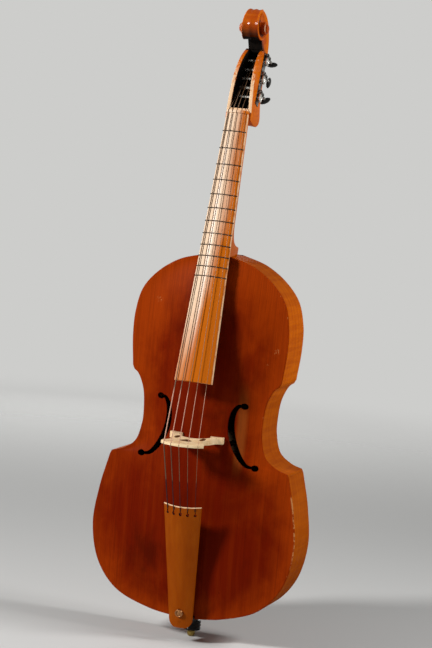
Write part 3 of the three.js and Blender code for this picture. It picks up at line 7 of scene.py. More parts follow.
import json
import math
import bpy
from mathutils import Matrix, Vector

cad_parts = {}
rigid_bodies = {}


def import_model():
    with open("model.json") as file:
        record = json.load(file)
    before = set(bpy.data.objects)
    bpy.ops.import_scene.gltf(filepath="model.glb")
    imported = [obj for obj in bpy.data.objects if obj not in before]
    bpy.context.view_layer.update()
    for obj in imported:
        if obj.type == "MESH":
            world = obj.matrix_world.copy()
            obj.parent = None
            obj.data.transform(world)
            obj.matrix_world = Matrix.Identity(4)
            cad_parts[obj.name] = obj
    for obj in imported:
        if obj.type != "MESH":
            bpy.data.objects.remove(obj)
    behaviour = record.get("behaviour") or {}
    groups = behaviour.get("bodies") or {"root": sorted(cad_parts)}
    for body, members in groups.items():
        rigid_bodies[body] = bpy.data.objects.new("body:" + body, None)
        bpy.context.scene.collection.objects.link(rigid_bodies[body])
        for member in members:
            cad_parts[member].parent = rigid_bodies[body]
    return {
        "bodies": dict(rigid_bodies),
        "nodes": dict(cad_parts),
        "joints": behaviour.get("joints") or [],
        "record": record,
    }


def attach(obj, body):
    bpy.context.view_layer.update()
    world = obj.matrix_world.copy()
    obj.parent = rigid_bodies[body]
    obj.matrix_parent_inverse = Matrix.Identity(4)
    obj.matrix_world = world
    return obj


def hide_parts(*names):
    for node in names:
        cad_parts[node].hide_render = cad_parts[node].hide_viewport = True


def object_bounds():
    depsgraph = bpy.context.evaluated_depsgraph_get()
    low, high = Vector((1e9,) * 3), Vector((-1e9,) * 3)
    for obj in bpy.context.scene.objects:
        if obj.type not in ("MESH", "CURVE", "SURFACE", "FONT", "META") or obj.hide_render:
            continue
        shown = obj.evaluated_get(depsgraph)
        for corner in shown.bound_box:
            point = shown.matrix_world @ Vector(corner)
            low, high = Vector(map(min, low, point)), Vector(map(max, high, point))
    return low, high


bl_info = {
    "name": "Viola da Gamba",
    "version": (1, 0, 0),
    "blender": (4, 5, 0),
    "location": "View3D > Sidebar > Viol",
    "description": "Dresses the packed model of a five-string bass viol in varnish, bare maple and steel",
    "category": "Object",
}

import bmesh
import bpy
import numpy as np
from bpy.props import FloatProperty, FloatVectorProperty, PointerProperty
from mathutils import Matrix, Vector

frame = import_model()
solid_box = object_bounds()

ROOT = "instrument"
METRE = 0.001

# Body
BODY_LENGTH = 738
LOWER_BOUT = 431
UPPER_BOUT = 328
WAIST = 253
CORNER_END = 8.8
LOWER_CORNER_TURN = 11
UPPER_CORNER_TURN = -21
BOTTOM = -175
TOP = BOTTOM + BODY_LENGTH
BODY_DEPTH = 104
FRONT = -BODY_DEPTH
MIDDLE = FRONT / 2
TOP_DEPTH = 87
FOLD = TOP - 138
EDGE = 4.5
PLATE = 4
ARCH = 24
RIB = 2.5
LINING_WIDTH = 5
LINING_HEIGHT = 12
GLUE = 0.2
HOLE_STROKE = 14.4
HOLE_TIP = 4.8
HOLE_EYE = (8, 6.4)

# Neck, board and head
BOARD_RISE = 19.5
BOARD_LENGTH = 545
BOARD_EDGE = 6
BOARD_RADIUS = 62
BOARD_HOLLOW = 4
NUT_WIDTH = 45
BOARD_END_WIDTH = 78.2
NUT_LENGTH = 6
NUT_RISE = 1.4
NECK_DEPTH = 24
NECK_DEPTH_AT_HEEL = 31
HEEL_LENGTH = 62
HEEL_BLOCK = 16
HEEL_CAP = 54
FRET_COUNT = 12
FRET_WIDTH = 2
FRET_RISE = 1.1
FRET_SEAT = 1.8
FRET_OVERHANG = 0.7
FRET_CLEARANCE = 0.15
HEAD_LEAN = math.radians(26)
PEGBOX_LENGTH = 150
PEGBOX_WIDTH = 53
PEGBOX_TOP_WIDTH = 38
PEGBOX_WALL = 7
PEGBOX_FLOOR = 6.5
CHIN_DEPTH = 62
THROAT_DEPTH = 36
FLUTE = 2.6
BEVEL = 1.6
VOLUTE_UP = 172.5
VOLUTE_FORWARD = 28
VOLUTE_RADIUS = 50
VOLUTE_DECAY = 0.163
VOLUTE_NARROW = 24
SCROLL_WIDTH = 61
EYE_DIAMETER = 17
VOLUTE_START = math.radians(-25)
VOLUTE_JOIN = math.radians(26)
VOLUTE_END = 1.8 * 2 * math.pi

# Strings and what carries them
STRING_RUN = 650
STRING_DIAMETERS = (2.2, 1.8, 1.4, 1.1, 0.9)
STRING_COUNT = len(STRING_DIAMETERS)
WOUND_STRINGS = 2
NUT_SPREAD = 36
BRIDGE_SPREAD = 71
TAIL_SPREAD = 58
CLEARANCE = 0.3
WIND_TURNS = 2.5
WIND_GAP = 0.6
BALL_RADIUS = 2.1
BRIDGE_TOP = 127
CROWN_RADIUS = 62
CROWN_WIDTH = 88
BRIDGE_SPAN = 112
BRIDGE_FOOT = 26
FOOT_HEIGHT = 7
BRIDGE_THICKNESS = 13
CROWN_THICKNESS = 5
CROWN_OVER_BOARD = 28.0186
TAIL_TOP = BOTTOM + 243
TAIL_LENGTH = 262
TAIL_RISE = 73
TAIL_LEAN = math.radians(11.7)
TAIL_WIDTH = 78.5
TAIL_END_WIDTH = 47
TAIL_ARCH = 12
TAIL_END_ARCH = 6
TAIL_ROUNDING = 16
TAIL_PLATE = 5
SLOT_EDGE = 4
SLOT_LENGTH = 12
KEYHOLE_DIAMETER = 5.6
KNOB_DIAMETER = 17
KNOB_HEIGHT = 5
KNOB_STEM = 7
KNOB_DOWN = TAIL_LENGTH - 34
CORD_DIAMETER = 4
SADDLE_WIDTH = 44
SADDLE_LENGTH = 8
SADDLE_RISE = 11

# End collar, pin and clamp screw
COLLAR_DIAMETER = 37
COLLAR_HEIGHT = 31
COLLAR_NECK_DIAMETER = 24
COLLAR_NECK = 11
COLLAR_RIBS = 3
STEM_DIAMETER = 23
STEM_LENGTH = 34
PIN_DIAMETER = 10
PIN_LENGTH = 330
FERRULE_DIAMETER = 16
FERRULE_HEIGHT = 14
SCREW_DIAMETER = 5
SCREW_HEAD_DIAMETER = 15
SCREW_HEAD_THICKNESS = 4
SCREW_HEIGHT = 10
SCREW_NECK = 6

# Tuning machines
ROLLER_FIRST = 42
ROLLER_PITCH = 20.5
ROLLER_DEPTH = 20
ROLLER_DIAMETER = 7
ROLLER_SEAT = 4
AXLE_DIAMETER = 5
MACHINE_PLATE = 1.5
MACHINE_PLATE_FRONT = 11
MACHINE_PLATE_WIDTH = 19
MACHINE_PLATE_MARGIN = 16
SCALLOP = 1.5
GEAR_TEETH = 15
GEAR_DIAMETER = 16
GEAR_WIDTH = 3.4
MACHINE_GAP = 0.5
TOOTH_HEIGHT = 1.7
TOOTH_ROOT = 1.5
TOOTH_TIP = 0.9
WORM_DIAMETER = 7.6
WORM_LENGTH = 10
MESH_CLEARANCE = 0.35
KEY_SHAFT_DIAMETER = 4.2
KEY_REACH = 33
EAR_THICKNESS = 2.5
EAR_WALL = 2
BUTTON_WIDTH = 23
BUTTON_HEIGHT = 15
BUTTON_THICKNESS = 8
BUTTON_TURNS = (145, 60, 95, 130, 170)

# Small sizes that only the surfaces have. AXIS is the radius that a turned profile keeps at its axis, and
# TOOL_REACH how far a cutting tool reaches past what it cuts
AXIS = 0.02
TOOL_REACH = 40
BORE_ROOM = 0.6
GROOVE_ROOM = 0.12
RIM_LEVEL = 0.0055
LINING_START = 36
WALL_ROUNDING = 1.5
THROAT_INSET = 4.5
EYE_BEVEL = 1.6
STRING_BEND = 2.2
SOLE_ROUNDING = 1.5
KNOB_FOOT = 1.2
SADDLE_EDGE = 1.6
COLLAR_GROOVE = 1.1
SCREW_THREAD = 0.28
SCREW_PITCH = 1
KNURL_COUNT = 24
KNURL_DEPTH = 0.45
SCREW_INSET = 2.6
SCREW_MARGIN = 3
SHANK_OVERLAP = 0.2
WORM_INSET = 0.3
WORM_RUNOUT = 0.9
KEY_CHAMFER = 0.5
ROLLER_CHAMFER = 0.7
FERRULE_CHAMFER = 1.2
COLLAR_FOOT_INSET = 2.4
TAIL_SOFT_SIDE = 0.9
VOLUTE_ROOM = 0.4
WALL_REACH = 0.1
# How far corners are rounded
THROAT_ROUNDING = 4
EYE_ROUNDING = 1.2
KNOB_ROUNDING = 0.8
COLLAR_ROUNDING = 0.8
COLLAR_FOOT_ROUNDING = 0.6
SCREW_ROUNDING = 0.7
PIN_ROUNDING = 0.7
ROLLER_ROUNDING = 0.5
KEY_ROUNDING = 0.6
MACHINE_PLATE_ROUNDING = 1.5
# Orders of the axes that lay a turned grid's own axis along X or along Y
ALONG_X = [2, 0, 1]
ALONG_Y = [0, 2, 1]

# Where the camera stands, and the size of the picture it was solved for
CAMERA_PLACE = (1437.6, -4353.5, 872.9)
CAMERA_AHEAD = (-0.3167, 0.9433, -0.0991)
CAMERA_UP = (-0.1174, 0.0647, 0.9910)
CAMERA_FOCUS = 2263
PICTURE_HEIGHT = 648
SENSOR_HEIGHT = 36

# Half width against the bout, height against the body
LOWER_SHARES = ((0, 0), (0.367, 0.0142), (0.715, 0.0535), (0.914, 0.1233), (0.998, 0.2236), (0.962, 0.329),
                (0.886, 0.4234))
UPPER_SHARES = ((0.962, 0.6762), (0.997, 0.7588), (0.988, 0.8266), (0.915, 0.8902), (0.738, 0.9397), (0.476, 0.979),
                (0.165, 1))
# How far up between the two corners, and how far out from the waist to the corner
WAIST_SHARES = ((0.042, 0.625), (0.153, 0.208), (0.374, 0.017), (0.549, 0), (0.764, 0.143), (0.892, 0.43),
                (0.965, 0.71))
# A sound hole's middle line: half width against the waist, height against the body
HOLE_SHARES = ((0.7, 0.6035), (0.618, 0.6025), (0.554, 0.588), (0.523, 0.565), (0.526, 0.538), (0.565, 0.509),
               (0.636, 0.481), (0.727, 0.458), (0.825, 0.4435), (0.955, 0.4402))
# The pegbox from the side: place along it, back edge and bowed front edge against the chin
PEGBOX_SHARES = ((-0.1, 0.5, 0.1), (-0.055, 0.8, 0.05), (0.01, 0.96, 0), (0.08, 1, -0.07), (0.17, 0.9, -0.145),
                 (0.27, 0.77, -0.21), (0.38, 0.71, -0.275), (0.5, 0.65, -0.3), (0.62, 0.61, -0.275),
                 (0.75, 0.58, -0.2), (0.87, 0.57, -0.06), (0.96, 0.57, 0.1))
# The bridge's edge below its crown, and its arch: half width against the span, height from ankle to shoulder
BRIDGE_EDGE_SHARES = ((0.768, 0.92), (0.625, 0.8), (0.554, 0.58), (0.679, 0.4), (0.786, 0.1), (0.857, 0))
BRIDGE_ARCH_SHARES = ((0.625, 0.03), (0.5, 0.2), (0.268, 0.34), (0, 0.38))
# Windows in the bridge: place across, height between the feet and the crown, width, and how tall for its width
BRIDGE_WINDOWS = ((-0.12, 0.62, 0.3, 1), (0.12, 0.62, 0.3, 1), (0, 0.57, 0.3, 1), (-0.6, 0.38, 0.25, 2.2),
                  (0.6, 0.38, 0.25, 2.2))
# The wedge of the throat from the side: depth and height in the head's frame, and the point that it narrows towards
THROAT_LINE = ((12, 140), (5, 146), (-4, 153), (-14, 160), (0, 170), (20, 162), (26, 150), (22, 140), (12, 140))
THROAT_MIDDLE = (8, 152)
# The faces of a toothed wheel: place along its width, whether it has its teeth there, and its radius against them
WHEEL_FACES = ((-0.5, True, 0.955), (-0.36, True, 1), (0.36, True, 1), (0.5, True, 0.955), (0.5, False, 0.62),
               (0.38, False, 0.56))
# A mounting screw's dome: radius and height
SCREW_DOME = ((2.3, -0.6), (2.3, 0.15), (2.0, 0.55), (1.2, 0.85), (0.4, 0.95), (AXIS, 0.96))
# The board's softened edges: places in from its side and up from its edge, and where its crown starts
BOARD_SOFT_EDGE = ((0, 0.9), (0.25, 0.3))
BOARD_CROWN_INSET = 0.7
# The nut's softened ends: place in from the end, and how far the top drops there
NUT_BOARD_END = ((0, 0.5), (0.15, 0.15), (0.5, 0))
NUT_HEAD_END = ((0.9, 0), (0.35, 0.25), (0, 0.9))
# The tailpiece's softened upper end: place down from the end, and how far both faces draw in there
TAIL_SOFT_END = ((0, 1.0), (0.25, 0.45), (0.9, 0.1))
# The groove round the ferrule: place below its top, and depth
FERRULE_GROOVE = ((4.2, 0), (3.6, 0.8), (3, 0.8), (2.4, 0))
# A key's turned collar: place above the foot of the button, and radius against the shaft's
KEY_COLLAR = ((-5, 1), (-3.6, 1.45), (-2.2, 1.5), (-1.2, 1.05), (2, 1.2))
# A machine plate's softened edge: level against its thickness, and place in from the edge
MACHINE_PLATE_EDGE = ((0, 0), (0.6, 0), (0.9, 0.15), (1, 0.5))
# The roller that each string winds on, and where along it
ROLLER_OF_STRING = (1, 3, 4, 2, 0)
WIND_PLACE_SHARES = (-0.75, -0.4, 0.1, 0.45, 0.8)

BRIDGE_Z = BOTTOM + BODY_LENGTH / 2 + 0.5
NUT_Z = BRIDGE_Z + STRING_RUN
NECK_SLOPE = (BRIDGE_TOP - CROWN_OVER_BOARD - BOARD_RISE + BOARD_EDGE) / (TOP - BRIDGE_Z)
NECK_TURN = math.atan(NECK_SLOPE)


# Sums on arrays


def blend(low, high, share):
    """A value from the low to the high one, by a share."""
    return low + (high - low) * share


def clamp(values, low=0.0, high=1.0):
    """The values, kept between two limits."""
    return np.minimum(np.maximum(values, low), high)


def spread(*numbers):
    """Points from their numbers, which are first widened to one shape."""
    return np.stack(np.broadcast_arrays(*numbers), axis=-1)


def circle(count):
    """Even steps of a whole turn, without its end."""
    return np.linspace(0, 2 * np.pi, count, endpoint=False)


def through(table, count):
    """A curve through a table's rows: a centripetal Catmull-Rom cubic between each two, at even steps of its own."""
    rows = np.asarray(table, float)
    ends = np.vstack([2 * rows[0] - rows[1], rows, 2 * rows[-1] - rows[-2]])
    place = np.linspace(0, len(rows) - 1, count)
    index = np.minimum(place.astype(int), len(rows) - 2)
    share = (place - index)[:, None]
    before, start, end, after = (ends[index + step] for step in range(4))
    first, middle, last = (
        np.linalg.norm(far - near, axis=1)[:, None] ** 0.5
        for near, far in ((before, start), (start, end), (end, after))
    )
    leave = ((start - before) / first - (end - before) / (first + middle) + (end - start) / middle) * middle
    arrive = ((end - start) / middle - (after - start) / (middle + last) + (after - end) / last) * middle
    square = 3 * (end - start) - 2 * leave - arrive
    cube = 2 * (start - end) + leave + arrive
    return start + leave * share + square * share**2 + cube * share**3


def along(table, places, column):
    """The value of one column of a table at any places along its first column, read from the curve through its rows."""
    curve = through(table, 400)
    return np.interp(places, curve[:, 0], curve[:, column])


def run_of(points):
    """How far each point lies along its line."""
    steps = np.linalg.norm(np.diff(points, axis=0), axis=1)
    return np.concatenate([[0], np.cumsum(steps)])


def evenly(points, spacing):
    """The same line with its points an even distance apart, at most the spacing."""
    run = run_of(points)
    count = int(np.ceil(run[-1] / spacing)) + 1
    places = np.linspace(0, run[-1], count)
    return np.stack([np.interp(places, run, column) for column in points.T], axis=1)


def inward(points, closed):
    """For each point of a line the step to its left that keeps an even distance from both of its sides."""
    before = np.roll(points, 1, 0)
    after = np.roll(points, -1, 0)
    if not closed:
        before[0] = 2 * points[0] - points[1]
        after[-1] = 2 * points[-1] - points[-2]

    def left(start, end):
        """The unit step to the left of each side."""
        step = end - start
        side = np.stack([-step[:, 1], step[:, 0]], axis=1)
        return side / np.maximum(np.linalg.norm(side, axis=1), 1e-9)[:, None]

    first, second = left(before, points), left(points, after)
    total = first + second
    total /= np.linalg.norm(total, axis=1)[:, None]
    return total / np.maximum((total * first).sum(1), 0.35)[:, None]


def sag(radius, width):
    """How far an arc of a radius drops from its middle to the ends of a width."""
    return radius - np.sqrt(np.maximum(radius**2 - (np.asarray(width) / 2) ** 2, 0))


def moved(points, matrix):
    """Points put through a 4 by 4 matrix."""
    matrix = np.array(matrix)
    return points @ matrix[:3, :3].T + matrix[:3, 3]


def turned_about_x(turn, place):
    """The frame of a piece that is turned about X and then moved to its place."""
    return Matrix.Translation(place) @ Matrix.Rotation(turn, 4, "X")


def glue_face_y(z):
    """Where the board is glued on at a height: a straight slope from the top of the body."""
    return FRONT - BOARD_RISE + BOARD_EDGE + (z - TOP) * NECK_SLOPE


HEAD_Z = NUT_Z + NUT_LENGTH * math.cos(NECK_TURN) + GLUE
BOARD_FRAME = turned_about_x(-NECK_TURN, (0, glue_face_y(NUT_Z), NUT_Z))
HEAD_FRAME = turned_about_x(-HEAD_LEAN, (0, glue_face_y(HEAD_Z) + GLUE, HEAD_Z))
TAIL_FRAME = turned_about_x(TAIL_LEAN, (0, FRONT - TAIL_RISE, TAIL_TOP))


# Meshes


class Skin:
    """Points and faces of one piece, gathered from grids, before they become a mesh."""

    def __init__(self):
        self.points = []
        self.faces = []
        self.count = 0

    def grid(self, points, wrap=True, ends=True, ring=False):
        """Rows by columns with quads between neighbours: columns or rows closed on themselves, ends capped."""
        rows, columns = points.shape[:2]
        index = np.arange(rows * columns).reshape(rows, columns) + self.count
        low, high = index[:-1], index[1:]
        if ring:
            low, high = index, np.roll(index, -1, 0)
        near, far = [low, high], [np.roll(low, -1, 1), np.roll(high, -1, 1)]
        if not wrap:
            near = [low[:, :-1], high[:, :-1]]
            far = [low[:, 1:], high[:, 1:]]
        quads = np.stack([near[0], far[0], far[1], near[1]], axis=-1).reshape(-1, 4)
        self.faces += quads.tolist()
        if ends and not ring:
            self.faces += [index[0][::-1].tolist(), index[-1].tolist()]
        self.points.append(points.reshape(-1, 3))
        self.count += rows * columns
        return self

    def piece(self, name, matrix=None):
        """The mesh object of all that was gathered: doubles merged, normals outwards."""
        points = np.concatenate(self.points)
        if matrix is not None:
            points = moved(points, matrix)
        mesh = bpy.data.meshes.new(name)
        mesh.from_pydata((points * METRE).tolist(), [], self.faces)
        work = bmesh.new()
        work.from_mesh(mesh)
        bmesh.ops.remove_doubles(work, verts=work.verts, dist=1e-6)
        bmesh.ops.dissolve_degenerate(work, edges=work.edges, dist=1e-7)
        bmesh.ops.recalc_face_normals(work, faces=work.faces)
        if work.calc_volume(signed=True) < 0:
            bmesh.ops.reverse_faces(work, faces=work.faces)
        work.to_mesh(mesh)
        work.free()
        thing = bpy.data.objects.new(name, mesh)
        bpy.context.scene.collection.objects.link(thing)
        return thing


def solid(grid, frame=None, name="tool", **how):
    """The mesh object of one grid, put down by its frame."""
    return Skin().grid(grid, **how).piece(name, frame)


def settled(thing):
    """Turns the modifiers of a piece into its plain mesh."""
    bpy.context.view_layer.update()
    graph = bpy.context.evaluated_depsgraph_get()
    mesh = bpy.data.meshes.new_from_object(thing.evaluated_get(graph))
    old = thing.data
    thing.modifiers.clear()
    thing.data = mesh
    mesh.name = thing.name
    bpy.data.meshes.remove(old)
    return thing


def emptied(thing):
    """Removes shells of no thickness: pairs of faces that share every edge, which a union can leave behind."""
    work = bmesh.new()
    work.from_mesh(thing.data)
    flat = [face for face in work.faces if len({other for edge in face.edges for other in edge.link_faces}) == 2]
    bmesh.ops.delete(work, geom=flat, context="FACES")
    work.to_mesh(thing.data)
    work.free()


def worked(thing, tools, operation="DIFFERENCE"):
    """Cuts tools out of a piece, or joins them to it, and removes the tools."""
    for tool in tools:
        step = thing.modifiers.new("work", "BOOLEAN")
        step.operation = operation
        step.solver = "MANIFOLD"
        step.object = tool
    emptied(settled(thing))
    for tool in tools:
        mesh = tool.data
        bpy.data.objects.remove(tool)
        bpy.data.meshes.remove(mesh)
    if not len(thing.data.polygons):
        raise RuntimeError(f"{thing.name} was lost in a cut")
    return thing


def eased(thing, width, segments=2, angle=50):
    """Rounds the sharp edges of a piece."""
    step = thing.modifiers.new("ease", "BEVEL")
    step.width = width * METRE
    step.segments = segments
    step.limit_method = "ANGLE"
    step.angle_limit = math.radians(angle)
    step.harden_normals = False
    return settled(thing)


def smoothed(thing, angle=32):
    """Smooth shading that stays sharp where two faces meet at more than the angle."""
    thing.data.shade_smooth()
    thing.data.set_sharp_from_angle(angle=math.radians(angle))
    return thing


def seated(thing, finish, nodes, body=ROOT):
    """Gives a piece its finish, lets it ride on its body and stand for its nodes."""
    thing.data.materials.clear()
    for each in finish if isinstance(finish, list) else [finish]:
        thing.data.materials.append(each)
    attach(thing, body)
    if nodes:
        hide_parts(*nodes)
    return thing


def second_finish(thing, faces):
    """Gives the faces that are marked as true the second finish of their piece."""
    thing.data.polygons.foreach_set("material_index", np.asarray(faces).astype(np.int32))


def corners_of(thing):
    """Where the vertices of a piece lie, in millimetres."""
    places = np.zeros(len(thing.data.vertices) * 3, np.float32)
    thing.data.vertices.foreach_get("co", places)
    return places.reshape(-1, 3).astype(float) / METRE


def centres_of(thing):
    """Where the middles of a piece's faces lie, in millimetres."""
    places = np.zeros(len(thing.data.polygons) * 3, np.float32)
    thing.data.polygons.foreach_get("center", places)
    return places.reshape(-1, 3).astype(float) / METRE


def facings_of(thing):
    """Which way a piece's faces look."""
    ways = np.zeros(len(thing.data.polygons) * 3, np.float32)
    thing.data.polygons.foreach_get("normal", ways)
    return ways.reshape(-1, 3)


def marked(thing, name, values):
    """Stores one number for each vertex, for a finish to read."""
    layer = thing.data.attributes.new(name, "FLOAT", "POINT")
    layer.data.foreach_set("value", np.asarray(values, np.float32))
    return thing


def tube_grid(points, radii, sides):
    """Rings round a line of points, each square to it, set out from the axis that the line runs least along."""
    points = np.asarray(points, float)
    ahead = np.gradient(points, axis=0)
    ahead /= np.linalg.norm(ahead, axis=1)[:, None]
    side = np.eye(3)[np.abs(ahead).max(0).argmin()]
    across = side - ahead * (ahead @ side)[:, None]
    across /= np.linalg.norm(across, axis=1)[:, None]
    up = np.cross(ahead, across)
    turn = circle(sides)
    radii = np.broadcast_to(radii, (len(points),))[:, None, None]
    round_it = across[:, None] * np.cos(turn)[None, :, None] + up[:, None] * np.sin(turn)[None, :, None]
    return points[:, None] + radii * round_it


def rod_grid(start, end, diameter, sides=32):
    """Two rings, one at either end of a straight line."""
    return tube_grid(np.array([start, end], float), diameter / 2, sides)


def rod(start, end, diameter, frame=None, sides=32):
    """A round rod between two points, as a tool."""
    return solid(rod_grid(start, end, diameter, sides), frame)


def turned_grid(profile, sides=64):
    """A profile of radius and height carried round the Z axis."""
    profile = np.asarray(profile, float)
    turn = circle(sides)
    radius, height = profile[:, :1], profile[:, 1:]
    return spread(radius * np.cos(turn), radius * np.sin(turn), height)


def softened(profile, radius, steps=4):
    """A line with each inner corner cut back by the radius and rounded by a parabola."""
    profile = np.asarray(profile, float)
    kept = [profile[:1]]
    for before, corner, after in zip(profile[:-2], profile[1:-1], profile[2:]):
        back, on = before - corner, after - corner
        near, far = np.linalg.norm(back), np.linalg.norm(on)
        start = corner + back * min(radius / near, 0.45)
        end = corner + on * min(radius / far, 0.45)
        share = np.linspace(0, 1, steps + 1)[:, None]
        kept.append(start * (1 - share) ** 2 + 2 * corner * share * (1 - share) + end * share**2)
    return np.concatenate([*kept, profile[-1:]])


# Outline of the body


def outline_parts(spacing):
    """The right half of the outline, from the middle of the bottom to the middle of the top, in its three curves."""
    def bout(shares, width):
        """The points of a bout, from its shares."""
        return np.asarray(shares) * (width / 2, BODY_LENGTH) + (0, BOTTOM)

    def corner(end, before, degrees):
        """The tip of a corner: on from the end of its bout, turned by some degrees."""
        run = (end - before) / np.linalg.norm(end - before)
        turn = math.radians(degrees)
        cos, sin = math.cos(turn), math.sin(turn)
        return end + CORNER_END * np.array([run[0] * cos - run[1] * sin, run[0] * sin + run[1] * cos])

    lower, upper = bout(LOWER_SHARES, LOWER_BOUT), bout(UPPER_SHARES, UPPER_BOUT)
    rough_lower, rough_upper = through(lower, 13), through(upper, 11)
    low = corner(rough_lower[-1], rough_lower[-2], LOWER_CORNER_TURN)
    high = corner(rough_upper[0], rough_upper[1], UPPER_CORNER_TURN)
    up, out = np.array(WAIST_SHARES).T
    reach = np.where(up < 0.5, low[0], high[0])
    waist = spread(blend(WAIST / 2, reach, out), blend(low[1], high[1], up))
    curves = (through(lower, 200), through(np.vstack([low, waist, high]), 200), through(upper, 200))
    return [evenly(curve, spacing) for curve in curves]


def whole_outline(spacing):
    """The closed outline: its right half up from the bottom, then its mirror image down again."""
    half = np.concatenate(outline_parts(spacing))[1:]
    return np.concatenate([[[0, BOTTOM]], half, [[0, TOP]], (half * (-1, 1))[::-1]])


def edge_distance(places):
    """How far each place in X and Z lies from the outline: the least distance to its sides."""
    line = whole_outline(8)
    ends = np.roll(line, -1, 0)
    side = ends - line
    length = np.maximum((side**2).sum(1), 1e-9)
    least = np.full(len(places), 1e9)
    for start in range(0, len(places), 4000):
        some = places[start:start + 4000]
        away = some[:, None] - line[None]
        share = clamp((away * side).sum(2) / length)
        far = np.linalg.norm(away - share[..., None] * side, axis=2)
        least[start:start + 4000] = far.min(1)
    return least


EDGE_LEVEL = 0.065


def arch_at(level):
    """How high the belly's arch stands at a level, nought at the edge and one at the spine: half a cosine wave."""
    inside = np.maximum(level - EDGE_LEVEL, 0) / (1 - EDGE_LEVEL)
    return ARCH * (1 - np.cos(np.pi * inside**0.8)) / 2


def belly_spine(z):
    """Where on its middle line the belly closes for a height of its outline: all heights drawn together."""
    return blend(BOTTOM, TOP, 0.5 + 0.72 * ((z - BOTTOM) / BODY_LENGTH - 0.5))


def belly_rows(outline, levels):
    """Rings that close in on the spine: each level's outline is softened along its run, more so further in."""
    waves = np.fft.rfft(outline, axis=0)
    order = np.arange(len(waves))
    length = run_of(np.vstack([outline, outline[:1]]))[-1]
    soften = clamp((levels - EDGE_LEVEL) / 0.5) * 46
    kept = np.exp(-0.5 * (2 * np.pi * order[None] / length * soften[:, None]) ** 2)
    rings = np.fft.irfft(waves[None] * kept[..., None], n=len(outline), axis=1)
    across, up = rings[..., 0], rings[..., 1]
    level = levels[:, None]
    return spread(across * (1 - level), blend(up, belly_spine(up), level))


def belly_height(places):
    """How far the arch stands over the edge at places in X and Z, from the nearest points of the belly's own grid."""
    levels = np.linspace(EDGE_LEVEL, 1, 90)
    rows = belly_rows(whole_outline(6), levels).reshape(-1, 2)
    heights = np.repeat(arch_at(levels), len(rows) // len(levels))
    far = np.linalg.norm(places[:, None] - rows[None], axis=2)
    near = np.argpartition(far, 6, axis=1)[:, :6]
    weight = 1 / (np.take_along_axis(far, near, 1) + 0.5) ** 2
    return (heights[near] * weight).sum(1) / weight.sum(1)


def hole_tools():
    """Tools for the two sound holes: a stroke that swells in its middle, and an oval eye at either end."""
    middle = through(np.asarray(HOLE_SHARES) * (WAIST / 2, BODY_LENGTH) + (0, BOTTOM), 90)
    share = np.linspace(0, 1, len(middle))
    width = blend(HOLE_TIP, HOLE_STROKE, np.sin(np.pi * share) ** 1.1)[:, None] / 2
    left = inward(middle, False)
    stroke = np.concatenate([middle + left * width, (middle - left * width)[::-1]])
    turn = circle(40)
    tools = []
    for side in (1, -1):
        lines = [stroke * (side, 1)]
        for across, up in (middle[0], middle[-1]):
            lines.append(spread(side * across + HOLE_EYE[0] * np.cos(turn), up + HOLE_EYE[1] * np.sin(turn)))
        for line in lines:
            rows = [spread(line[:, 0], y, line[:, 1]) for y in (FRONT - 2 * ARCH, FRONT + ARCH)]
            tools.append(solid(np.array(rows)))
    return tools


def belly_piece(rounding):
    """The belly: rings from the edge to the spine on both faces, a rounded rim between them, the sound holes cut."""
    turn = np.linspace(0, np.pi / 2, 5)
    rim_levels = RIM_LEVEL * (1 - np.cos(turn)) * rounding
    rim = FRONT + rounding * (1 - np.sin(turn))
    arch_levels = np.concatenate([np.linspace(0.012, EDGE_LEVEL, 5), blend(EDGE_LEVEL, 1, np.linspace(0.02, 1, 40))])
    under = np.linspace(1, 0, 22)
    lower = FRONT + np.where(under <= EDGE_LEVEL, EDGE, PLATE) - arch_at(under)
    depths = np.concatenate([lower, rim, FRONT - arch_at(arch_levels)])
    places = belly_rows(whole_outline(4), np.concatenate([under, rim_levels, arch_levels]))
    belly = solid(spread(places[..., 0], depths[:, None], places[..., 1]), name="belly_arched", ends=False)
    return worked(belly, hole_tools())


def back_piece(rounding):
    """The flat back: two level faces that meet at the fold, above and below a rounded rim."""
    outline = whole_outline(4)
    after = np.roll(outline, -1, axis=0)
    across = np.flatnonzero((outline[:, 1] - FOLD) * (after[:, 1] - FOLD) < 0)
    share = (FOLD - outline[across, 1]) / (after[across, 1] - outline[across, 1])
    line = np.insert(outline, across + 1, blend(outline[across], after[across], share[:, None]), axis=0)
    inset = inward(line, True)
    on_fold = np.abs(line[:, 1] - FOLD) < 1e-6
    inset[on_fold, 1] = 0
    turn = np.linspace(0, np.pi / 2, 5)
    insets = np.concatenate([[0], rounding * (1 - np.cos(turn))])
    drops = np.concatenate([[-PLATE], -rounding * (1 - np.sin(turn))])
    rows = []
    for step, drop in zip(insets, drops):
        place = line + inset * step
        rows.append(spread(place[:, 0], back_y(place[:, 1]) + drop, place[:, 1]))
    skin = Skin().grid(np.array(rows), ends=False)
    bends = np.flatnonzero(on_fold)
    for base, flip in ((0, 1), ((len(rows) - 1) * len(line), -1)):
        above = (base + np.arange(bends[0], bends[1] + 1)).tolist()
        below = (base + np.r_[bends[1]:len(line), 0:bends[0] + 1]).tolist()
        skin.faces += [above[::flip], below[::flip]]
    return skin.piece("back_flat")


def back_y(z):
    """How far back the outer face of the back lies: level up to the fold, and then forward to the neck."""
    return np.where(z <= FOLD, 0, -(BODY_DEPTH - TOP_DEPTH) * (z - FOLD) / (TOP - FOLD))


